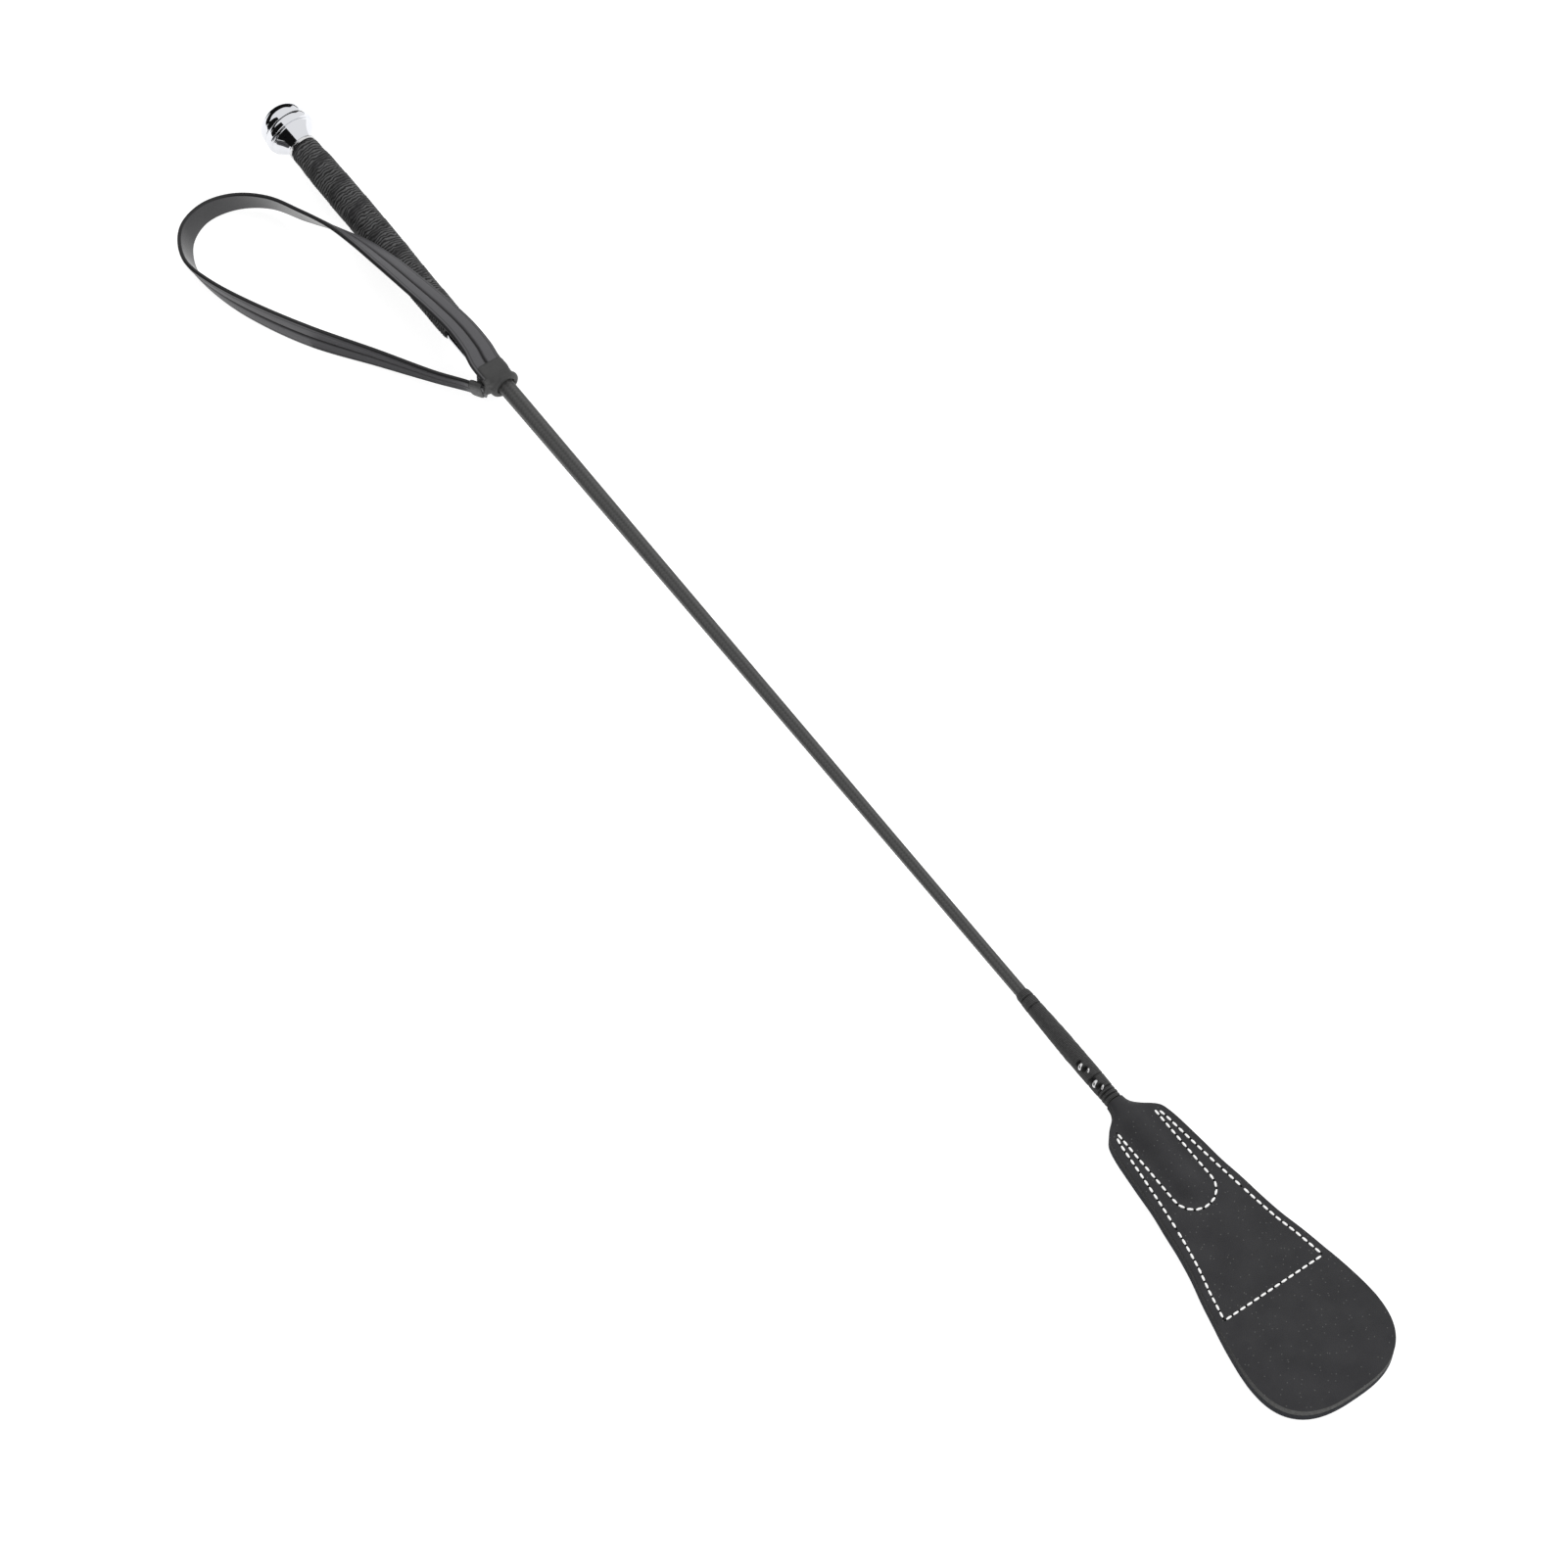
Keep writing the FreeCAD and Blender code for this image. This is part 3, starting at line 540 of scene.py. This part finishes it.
tipWhipping = {"first": 497.7, "last": 555.0, "pitch": 0.62, "depth": 0.17,
               # x and depth of the gaps between its bands
               "bandHalf": 0.3,
               "bands": [(501.2, 0.16), (505.5, 0.14), (543.5, 0.2), (549.6, 0.26), (551.4, 0.26),
                         (553.2, 0.26)],
               # x, angle and depth of the dents that the staples are pressed into
               "dentHalf": 0.6, "dentTurn": 16,
               "dents": [(538.9, 118, 0.8), (535.4, 122, 0.5), (547.9, 118, 0.8), (544.4, 122, 0.5)],
               "outline": [(497.7, 2.62), (498.6, 2.88), (502, 3.12), (510, 3.36), (525, 3.7), (541, 3.7),
                           (549, 3.6), (554.2, 3.55), (555, 3.35)]}


def whippingDetail(x, angle):
    # turns of thread, a little lumpy, with gaps between bands and dents at the staples; the mark paints shade
    # into the gaps between turns, the band grooves and the staple dents
    look = tipWhipping
    side = Vector((x * 0.3, math.cos(angle), math.sin(angle)))
    drift = 0.3 * noise.noise(side) + 0.12 * noise.noise(side * 4)
    turn = abs(math.sin(math.pi * (x / look["pitch"] + angle / fullTurn + drift)))
    groove = max(math.exp(-((x - place) / look["bandHalf"]) ** 2) * deep for place, deep in look["bands"])
    dent = sum(deep * math.exp(-((x - place) / look["dentHalf"]) ** 2
                               - ((math.degrees(angle) - turned) / look["dentTurn"]) ** 2)
               for place, turned, deep in look["dents"])
    lumpy = 0.12 * noise.noise(side * 1.4) + 0.05 * noise.noise(side * 6)
    height = look["depth"] * (turn - 1) - groove - dent + lumpy
    return height, max(0.0, turn * (0.8 + 0.4 * noise.noise(side * 9)) - 4 * groove - 3 * dent)


whipping = tubeBlank("tipWhipping", tipWhipping["first"], tipWhipping["last"], 72, 460)
shapeTube(whipping, tipWhipping["outline"], whippingDetail, ("yarnShade",))
finishPiece(whipping, thread.material, "root", ["tip_whipping"], 60)

print("bending the neck staples")

neckStaples = {
    "reach": 3.3, "proud": 0.55, "sunkEnd": 0.9, "slant": 1.1, "neckRadius": 3.6, "steps": 6,
    # x, angle, length round the neck and half thickness of each bright crown
    "crowns": [(537.1, 128, 1.9, 0.72), (540.4, 106, 1.0, 0.45),
               (546.1, 128, 2.1, 0.78), (549.2, 106, 1.2, 0.48)]}


def bendStaple(name, crown):
    look = neckStaples
    place, turned, long, thick = crown
    route = []
    for index in range(look["steps"] + 1):
        share = index / look["steps"] - 0.5
        angle = math.radians(turned) + share * long / look["neckRadius"]
        reach = look["reach"] + look["proud"] * math.cos(share * math.pi)
        if abs(share) == 0.5:
            reach -= look["sunkEnd"]
        x = place + share * look["slant"]
        route.append((x * mm, reach * math.cos(angle) * mm, reach * math.sin(angle) * mm))
    deselectAll()
    bpy.ops.curve.primitive_bezier_curve_add()
    wire = bpy.context.active_object
    spline = wire.data.splines[0]
    spline.bezier_points.add(len(route) - 2)
    for point, spot in zip(spline.bezier_points, route):
        point.co = spot
        point.handle_left_type = point.handle_right_type = "AUTO"
    wire.data.resolution_u = 4
    wire.data.bevel_depth = thick * mm
    wire.data.bevel_resolution = 3
    wire.data.use_fill_caps = True
    bpy.ops.object.convert(target="MESH")
    return namePiece(name)


staples = [bendStaple(f"staple{index}", crown) for index, crown in enumerate(neckStaples["crowns"])]
neckWires = joinPieces(staples, "neckStaples")
placePiece(neckWires)
closeAndTurnOut(neckWires, 0.000001)
finishPiece(neckWires, steel.material, "root", ["neck_staples"], 50)

print("laying the wrist strap")

wristStrap = {
    "width": 12.7, "thickness": 1.7, "edgeRound": 0.75, "seamDepth": 0.6, "seamWidth": 0.6,
    "faceShare": 0.42, "crown": 0.18, "lineInset": 1.5, "lineDepth": 0.14, "lineWidth": 0.22,
    # x, y, z of its middle in mm, and how far its outer face leans from up
    "route": [
        (157.2, -2.4, 6.7, 6), (150, -2.4, 6.9, 6), (143, -1.4, 7.5, 13), (132, -1.4, 8.5, 19),
        (119, -3.2, 9.8, 23), (105, -5.8, 10.7, 27), (91, -8.2, 10.7, 32), (76, -10.7, 8.9, 43),
        (62, -13.9, 5.4, 59),
        (47, -19.1, 1, 71), (32.5, -25.3, -2.1, 75), (23.4, -35.7, -3.5, 84), (20.6, -48.5, -3.9, 95),
        (25.4, -60.2, -4.1, 109), (37, -66.7, -4.1, 112), (50, -65.8, -3.9, 104), (69, -59.6, -3.9, 92),
        (93, -47.8, -3.9, 86), (118, -31.9, -3.5, 95), (139, -19, -2.8, 104), (150, -11.5, -2.2, 106),
        (156.6, -7.3, -2.2, 106)]}


def strapRoute():
    # distance along, and x, y, z and lean, as four smooth curves over the distance
    stations = wristStrap["route"]
    distance = [0.0]
    for first, second in zip(stations, stations[1:]):
        distance.append(distance[-1] + (Vector(second[:3]) - Vector(first[:3])).length)
    return distance[-1], [[(d, station[axis]) for d, station in zip(distance, stations)] for axis in range(4)]


strapLength, strapCurves = strapRoute()


def strapPlace(along):
    # middle of the strap at a distance along it, the way its outer face looks, and sideways
    curves, step = strapCurves[:3], 0.5
    middle = Vector([alongStations(curve, along) for curve in curves])
    after = Vector([alongStations(curve, min(along + step, strapLength)) for curve in curves])
    before = Vector([alongStations(curve, max(along - step, 0)) for curve in curves])
    ahead = (after - before).normalized()
    outward = ahead.cross(Vector((0, 0, 1))).normalized()
    upward = outward.cross(ahead).normalized()
    lean = math.radians(alongStations(strapCurves[3], along))
    normal = upward * math.cos(lean) + outward * math.sin(lean)
    return middle, normal, ahead.cross(normal)


def strapProfile(share):
    # one turn round the strap's section: across, up, how much it faces out (eased near the rims, a painted
    # shade there), and how much painted shade its seam, lines and rounded edges get
    look = wristStrap
    half, thick = look["width"] / 2, look["thickness"] / 2
    bulge, face = look["edgeRound"] * 0.6, look["faceShare"]
    if share < face:
        across = (1 - 2 * share / face) * (half - bulge)
        seam = math.exp(-(across / look["seamWidth"]) ** 2)
        line = math.exp(-((abs(across) - (half - look["lineInset"])) / look["lineWidth"]) ** 2)
        crown = look["crown"] * math.cos((abs(across) / half - 0.5) * math.pi)
        rim = between(abs(across), half - 0.85, half - 0.5)
        up = thick - 0.12 + crown - seam * look["seamDepth"] - line * look["lineDepth"]
        return across, up, 1.0 - 0.5 * rim, max(seam, 0.6 * line, 0.7 * rim)
    if share < 0.5:
        turn = (share - face) / (0.5 - face) * math.pi
        return -(half - bulge) - bulge * math.sin(turn), thick * 0.93 * math.cos(turn), 0.3, 0.7
    if share < 0.5 + face:
        return (-1 + 2 * (share - 0.5) / face) * (half - bulge), -thick + 0.07, 0.0, 0.0
    turn = (share - 0.5 - face) / (0.5 - face) * math.pi
    return half - bulge + bulge * math.sin(turn), -thick * 0.93 * math.cos(turn), 0.3, 0.7


band = tubeBlank("wristStrap", 0, strapLength, 120, 300)
outer, creaseShades, strapRings = [], [], {}
for vertex in band.data.vertices:
    share = (math.atan2(vertex.co.z, vertex.co.y) / fullTurn) % 1.0
    across, up, facing, creaseShade = strapProfile(share)
    ring = round(vertex.co.x / mm, 2)
    if ring not in strapRings:
        strapRings[ring] = strapPlace(ring)
    middle, normal, sideways = strapRings[ring]
    vertex.co = (middle + normal * up + sideways * across) * mm
    outer.append(facing)
    creaseShades.append(creaseShade)
addAttribute(band, "outerFace", outer)
addAttribute(band, "creaseShade", creaseShades)
closeAndTurnOut(band, 0.000001)
finishPiece(band, strap.material, ("root", "loop", (0.150, 0, 0), (0.126, 0, 0)),
            ["wrist_strap", "wrist_strap_ends"], 50)

print("moulding the collar and its sleeve")

strapCollar = {"voxel": 0.34, "smoothing": 9}


def addBlock(corner, opposite, turn, soft):
    # a block with rounded edges between two corners in mm, turned about the shaft
    deselectAll()
    low, high = Vector(corner) * mm, Vector(opposite) * mm
    bpy.ops.mesh.primitive_cube_add(size=1, location=(low + high) / 2, scale=high - low)
    block = bpy.context.active_object
    placePiece(block)
    editAll(block)
    bpy.ops.mesh.bevel(offset=soft * mm, segments=3)
    if turn:
        bpy.ops.transform.rotate(value=-turn, orient_axis="X", center_override=(low + high) / 2)
    bpy.ops.object.mode_set(mode="OBJECT")
    return block


collarRings = [
    (148.8, 2.0), (148.8, 5.3), (149.4, 5.7), (152, 5.75), (155.4, 5.7), (157.0, 5.55), (157.5, 5.4),
    # rolled lower ring
    (158.0, 5.9), (158.7, 6.35), (159.6, 6.4), (160.4, 6.05), (160.9, 5.4), (161.0, 4.7), (160.9, 4.2),
    (160.3, 3.75), (159.2, 3.65), (159.2, 2.0)]
collarParts = [turnPiece("collarRing", collarRings, 64),
               addBlock((150.6, -8.2, 3.0), (158.2, 4.2, 8.2), math.radians(-6), 1.9),
               addBlock((154.0, -6.6, 1.0), (160.0, 4.4, 6.9), 0, 2.6),
               addBlock((150.7, -8.2, -4.6), (158.4, -2.0, 6.2), 0, 2.2)]
collar = joinPieces(collarParts, "strapCollar")
applyModifier(collar, "REMESH", mode="VOXEL", voxel_size=strapCollar["voxel"] * mm)
applyModifier(collar, "SMOOTH", factor=0.5, iterations=strapCollar["smoothing"])
finishPiece(collar, collarLeather, "root", ["strap_collar"], 60)

sleeveSize = {"long": 5.2, "wide": 14.6, "thick": 3.6, "fromEnd": 0.8}
deselectAll()
bpy.ops.mesh.primitive_cube_add(size=1)
sleeve = namePiece("strapSleeve")
editAll(sleeve)
bpy.ops.mesh.subdivide(number_cuts=6)
bpy.ops.object.mode_set(mode="OBJECT")
sleeveEnd = strapLength - sleeveSize["fromEnd"]
for vertex in sleeve.data.vertices:
    along = sleeveEnd - (vertex.co.x + 0.5) * sleeveSize["long"]
    middle, normal, sideways = strapPlace(along)
    pinch = 1 - 0.10 * between(abs(vertex.co.x), 0.3, 0.5)
    corner = 1 - 0.18 * between(abs(vertex.co.y) + abs(vertex.co.z), 0.7, 1.0)
    vertex.co = (middle + normal * (vertex.co.z * sleeveSize["thick"] * pinch * corner)
                 + sideways * (vertex.co.y * sleeveSize["wide"] * pinch * corner)) * mm
applyModifier(sleeve, "SUBSURF", levels=2, render_levels=2)
closeAndTurnOut(sleeve, 0.000001)
finishPiece(sleeve, collarLeather, "root", ["strap_sleeve"], 60)

print("cutting the tongue's leaves")

tongue = {
    "neck": 555.6, "split": 652.5, "tip": 703.0, "leaf": 4.0, "widest": (676.0, 29.6), "rimAtNeck": 1.3,
    "crestAtNeck": 3.5, "bevelFrom": 556, "cutSlope": 0.62,
    "flexAt": 615.0, "flexSpread": 10.0, "droop": math.radians(4.3), "edgeRound": 0.5, "gap": 0.08,
    "pocket": (563.0, 603.0), "pocketHalf": 8.0, "pocketRise": 1.85,
    "outline": [(555, 3.5), (558, 3.9), (560, 4.8), (562.5, 7.0), (565, 9.8), (567.5, 11.9), (570, 12.9),
                (575, 13.9), (580, 14.5), (590, 15.5), (600, 16.4), (610, 17.9), (620, 19.2), (630, 21.0),
                (640, 23.5), (650, 25.6), (660, 27.6), (670, 29.1), (676, 29.6)]}


def halfWidth(x):
    place, widest = tongue["widest"]
    if x <= place:
        return alongStations(tongue["outline"], x)
    share = min((x - place) / (tongue["tip"] - place), 1.0)
    return widest * (1 - share ** 2.6) ** 0.37


def leafHeight(x, y):
    # height of the upper leaf's face over the parting plane, before the droop
    half = max(halfWidth(x), 0.001)
    neckRim, neckCrest = tongue["rimAtNeck"], tongue["crestAtNeck"]
    rim = neckRim + (tongue["leaf"] - neckRim) * between(x, 556, 570)
    crest = neckCrest + (tongue["leaf"] + tongue["pocketRise"] - neckCrest) * between(x, 555, 568)
    start, end = tongue["pocket"]
    away = math.hypot(y, max(x - end, 0, start - x))
    swell = 0.5 + 0.5 * math.cos(math.pi * min(away / tongue["pocketHalf"], 1))
    arch = math.sqrt(max(0.0, 1 - (y / half) ** 2))
    settled = between(x, 558, 571)
    rise = arch * (1 - settled) + swell * settled
    return rim + (crest - rim) * rise


def drooped(x, y, z):
    # bends the tongue down past the rod's end
    start = tongue["flexAt"] - tongue["flexSpread"]
    if x <= start:
        return Vector((x, y, z)) * mm
    spread, full = 2 * tongue["flexSpread"], tongue["droop"]
    bent = min((x - start) / spread, 1.0)
    angle = full * bent
    run = min(x - start, spread)
    past = max(x - start - spread, 0)
    alongX = start + run * (1 - angle * angle / 6) + past * math.cos(full)
    down = run * angle / 2 + past * math.sin(full)
    return Vector((alongX + z * math.sin(angle), y, -down + z * math.cos(angle))) * mm


def cutLeaf(name, first, last, columns, rows, up, roundTip):
    # cut flat to the outline, given its thickness, its rim eased, and then bent down
    deselectAll()
    bpy.ops.mesh.primitive_grid_add(x_subdivisions=columns, y_subdivisions=rows, size=2)
    leaf = namePiece(name)
    sign = 1 if up else -1
    for vertex in leaf.data.vertices:
        share = (vertex.co.x + 1) / 2
        x = first + (last - first) * (math.sin(share * math.pi / 2) if roundTip else share)
        y = vertex.co.y * halfWidth(x)
        vertex.co = (x, y, leafHeight(x, y))
    editAll(leaf)
    bpy.ops.mesh.extrude_region_move(TRANSFORM_OT_translate={"value": (0, 0, -1)})
    bpy.ops.object.mode_set(mode="OBJECT")
    for vertex in leaf.data.vertices:
        if vertex.select:
            vertex.co.z = tongue["gap"]
    closeAndTurnOut(leaf, 0.001)
    editPiece(leaf, "EDGE")
    bpy.ops.mesh.select_all(action="DESELECT")
    bpy.ops.object.mode_set(mode="OBJECT")
    mesh = leaf.data
    for edge in mesh.edges:
        ends = [mesh.vertices[index].co for index in edge.vertices]
        onRim = all(abs(abs(p.y) - halfWidth(p.x)) < 0.02 for p in ends)
        steep = abs(ends[0].z - ends[1].z) > 0.6
        pastNeck = min(p.x for p in ends) > tongue["bevelFrom"]
        short = abs(ends[0].y - ends[1].y) < 6 or not roundTip
        edge.select = onRim and not steep and pastNeck and short
    editPiece(leaf, "EDGE")
    bpy.ops.mesh.bevel(offset=tongue["edgeRound"], segments=3, clamp_overlap=True)
    bpy.ops.object.mode_set(mode="OBJECT")
    for vertex in mesh.vertices:
        vertex.co = drooped(vertex.co.x, vertex.co.y, sign * vertex.co.z)
    closeAndTurnOut(leaf, 0.000002)
    return leaf


def paintCutEdge(leaf):
    for face in leaf.data.polygons:
        if abs(face.normal.z) < tongue["cutSlope"]:
            face.material_index = 1


flexBlend = ("root", "tongue", (0.606, 0, 0), (0.624, 0, 0))
for up in (True, False):
    side = "upper" if up else "lower"
    finishes = [upperLeather, upperEdge] if up else [lowerLeather, lowerEdge]
    body = cutLeaf(side + "Leaf", tongue["neck"], tongue["split"], 110, 44, up, False)
    bodyNodes = [side + "_leaf_neck", side + "_leaf_middle"]
    finishPiece(body, finishes, flexBlend, bodyNodes, 45)
    paintCutEdge(body)
    flap = cutLeaf(side + "Flap", tongue["split"], tongue["tip"], 70, 44, up, True)
    flapBlend = ("tongue", side + "_flap", (0.6528, 0, -0.0028), (0.661, 0, -0.0034))
    finishPiece(flap, finishes, flapBlend, [side + "_leaf_flap"], 45)
    paintCutEdge(flap)

print("sewing the tongue")

# hole is the size of the dark disc painted as the shadow in each needle hole
stitching = {"pitch": 3.3, "lift": 0.08, "thread": (2.6, 0.98, 0.8), "hole": (1.2, 0.8, 0.16),
             "pocketStart": 568.3, "pocketTurn": 603.3, "pocketHalf": 8.7, "turnSteps": 16}


def seamPoints(corners):
    # even stations along a line through corners in mm, with the way it heads
    stations = []
    spans = list(zip(corners, corners[1:]))
    total = sum(math.dist(a, b) for a, b in spans)
    count = max(1, round(total / stitching["pitch"]))
    for index in range(count):
        along = total * (index + 0.5) / count
        for a, b in spans:
            span = math.dist(a, b)
            if along <= span:
                break
            along -= span
        share = along / span
        stations.append((a[0] + (b[0] - a[0]) * share, a[1] + (b[1] - a[1]) * share,
                         math.atan2(b[1] - a[1], b[0] - a[0])))
    return stations, total / count


def mirrorSeam(corners):
    return [(x, -y) for x, y in corners]


def seamRoundPocket():
    # along one side, round past the rod's end, and back along the other
    start, turn = stitching["pocketStart"], stitching["pocketTurn"]
    half, steps = stitching["pocketHalf"], stitching["turnSteps"]
    bend = [(turn + half * math.sin(step * math.pi / steps), half * math.cos(step * math.pi / steps))
            for step in range(steps + 1)]
    return [(start, half)] + bend + [(start, -half)]


neckSeam = [(569.6, 9.9), (573, 10.6), (580, 11.3), (590, 12.4), (600, 13.5), (612.8, 15.2)]
sideSeam = [(614.0, 15.4), (620, 16.3), (630, 18.1), (640, 20.6), (651.5, 22.9)]
crossSeam = [(652.5, 22.6), (652.5, -22.6)]


def stitchBlank(name, long, wide, high):
    deselectAll()
    bpy.ops.mesh.primitive_uv_sphere_add(segments=8, ring_count=6, radius=1)
    blank = namePiece(name)
    for vertex in blank.data.vertices:
        co = vertex.co
        # blunt ends, as a thread that dives into its hole
        squarish = 1 / max(abs(co.x), abs(co.y), 0.6) ** 0.35
        vertex.co = (co.x * squarish * long / 2, co.y * wide / 2, co.z * high / 2)
    return blank


def sewSeam(name, seams, material, body, replaced, blankSize, atHoles=False):
    # one stitch copied along each seam on both leaves, or one dark disc of painted needle hole shadow copied
    # between the stitches
    lift = 0.0 if atHoles else stitching["lift"]
    blank = stitchBlank(name + "Blank", *blankSize)
    copies = []
    for seam in seams:
        stations, pitch = seamPoints(seam)
        for x, y, heading in stations:
            if atHoles:
                x, y = x + math.cos(heading) * pitch / 2, y + math.sin(heading) * pitch / 2
            for sign in (1, -1):
                stitch = blank.copy()
                stitch.data = blank.data.copy()
                bpy.context.scene.collection.objects.link(stitch)
                for vertex in stitch.data.vertices:
                    a, b, c = vertex.co
                    px = x + a * math.cos(heading) - b * math.sin(heading)
                    py = y + a * math.sin(heading) + b * math.cos(heading)
                    vertex.co = drooped(px, py, sign * (leafHeight(px, py) + c + lift))
                copies.append(stitch)
    bpy.data.objects.remove(blank)
    seamPiece = joinPieces(copies, name)
    closeAndTurnOut(seamPiece, 0.0000001)
    finishPiece(seamPiece, material, body, replaced, 70)


seamRuns = {
    "pocket": ([seamRoundPocket()], flexBlend, "pocket_stitching"),
    "neckEdge": ([neckSeam, mirrorSeam(neckSeam)], flexBlend, "neck_edge_stitching"),
    "sideEdge": ([sideSeam, mirrorSeam(sideSeam)], flexBlend, "side_edge_stitching"),
    "cross": ([crossSeam], "tongue", "cross_stitching")}
for seamName, (seams, body, node) in seamRuns.items():
    sewSeam(seamName + "Stitches", seams, whiteThread.material, body, [node],
            stitching["thread"])
    # dark discs between the stitches paint the shadow in the needle holes
    sewSeam(seamName + "NeedleHoleShadows", seams, needleHoleShadow.material, body, [],
            stitching["hole"], True)

print("setting up the studio")

studio = {"floorHeight": -0.0106, "floorSize": 6.0, "floorGlow": 0.80, "world": 1.0,
          "keyPower": 13, "fillPower": 4}

deselectAll()
bpy.ops.mesh.primitive_plane_add(size=studio["floorSize"], location=(0.35, 0, studio["floorHeight"]))
floor = namePiece("floor")
floorLook = Finish("paleFloor")
floorLook.colour(floorLook.mix(floorLook.noise(3), (0.42, 0.42, 0.42), (0.38, 0.38, 0.38)))
floorLook.fixed(Roughness=0.9, Emission_Color=(1, 1, 1, 1), Emission_Strength=studio["floorGlow"])
floor.data.materials.append(floorLook.material)
placePiece(floor)

flagLook = Finish("blackFlag")
flagLook.colour(flagLook.mix(flagLook.noise(5), (0.004, 0.004, 0.004), (0.008, 0.008, 0.008)))
flagLook.fixed(Roughness=1.0, Specular_IOR_Level=0.0)


def addFlag(name, centre, turn, scale):
    # a black card that only reflections show
    deselectAll()
    bpy.ops.mesh.primitive_plane_add(size=1, location=centre, rotation=turn)
    flag = namePiece(name)
    editAll(flag)
    bpy.ops.mesh.subdivide(number_cuts=3)
    bpy.ops.object.mode_set(mode="OBJECT")
    flag.scale = (*scale, 1)
    flag.data.materials.append(flagLook.material)
    placePiece(flag)
    flag.visible_camera = False
    flag.visible_shadow = False
    flag.visible_diffuse = False


addFlag("sideFlag", (0.35, -0.435, 0.34), (math.radians(61.4), 0, 0), (1.5, 0.774))
addFlag("endFlag", (-0.30, 0, 0.09), (0, math.radians(90), 0), (0.22, 0.8))
addFlag("endFloorFlag", (-0.17, 0.11, -0.0100), (0, 0, 0), (0.26, 0.26))
addFlag("ferruleFlag", (0.1225, -0.036, -0.0102), (0, 0, 0), (0.055, 0.048))

world = bpy.data.worlds.new("studioWorld")
bpy.context.scene.world = world
world.use_nodes = True
world.node_tree.nodes["Background"].inputs["Color"].default_value = (1, 1, 1, 1)
world.node_tree.nodes["Background"].inputs["Strength"].default_value = studio["world"]


def addSoftbox(name, place, target, width, power):
    deselectAll()
    bpy.ops.object.light_add(type="AREA", location=place)
    light = bpy.context.active_object
    light.name = name
    light.data.name = name
    light.data.size = width
    light.data.energy = power
    light.visible_glossy = False
    light.rotation_euler = (Vector(target) - Vector(place)).to_track_quat("-Z", "Y").to_euler()


addSoftbox("keySoftbox", (0.9, 1.1, 1.9), (0.35, 0, 0), 1.2, studio["keyPower"])
addSoftbox("fillSoftbox", (-0.9, 0.6, 1.4), (0.3, 0, 0), 1.0, studio["fillPower"])

camera = {"lens": 200.0, "elevation": 60.0, "azimuth": -36.232, "distance": 3.337,
          "target": (0.37103, -0.0186, 0.0)}
tilt, swing = math.radians(camera["elevation"]), math.radians(camera["azimuth"])
away = Vector((math.cos(tilt) * math.cos(swing), math.cos(tilt) * math.sin(swing), math.sin(tilt)))
deselectAll()
bpy.ops.object.camera_add(location=Vector(camera["target"]) + away * camera["distance"],
                          rotation=(math.pi / 2 - tilt, 0, swing + math.pi / 2))
cameraObject = bpy.context.active_object
cameraObject.name = "camera"
cameraObject.data.lens = camera["lens"]
cameraObject.data.clip_end = 20
bpy.context.scene.camera = cameraObject
bpy.context.scene.view_settings.view_transform = "Standard"
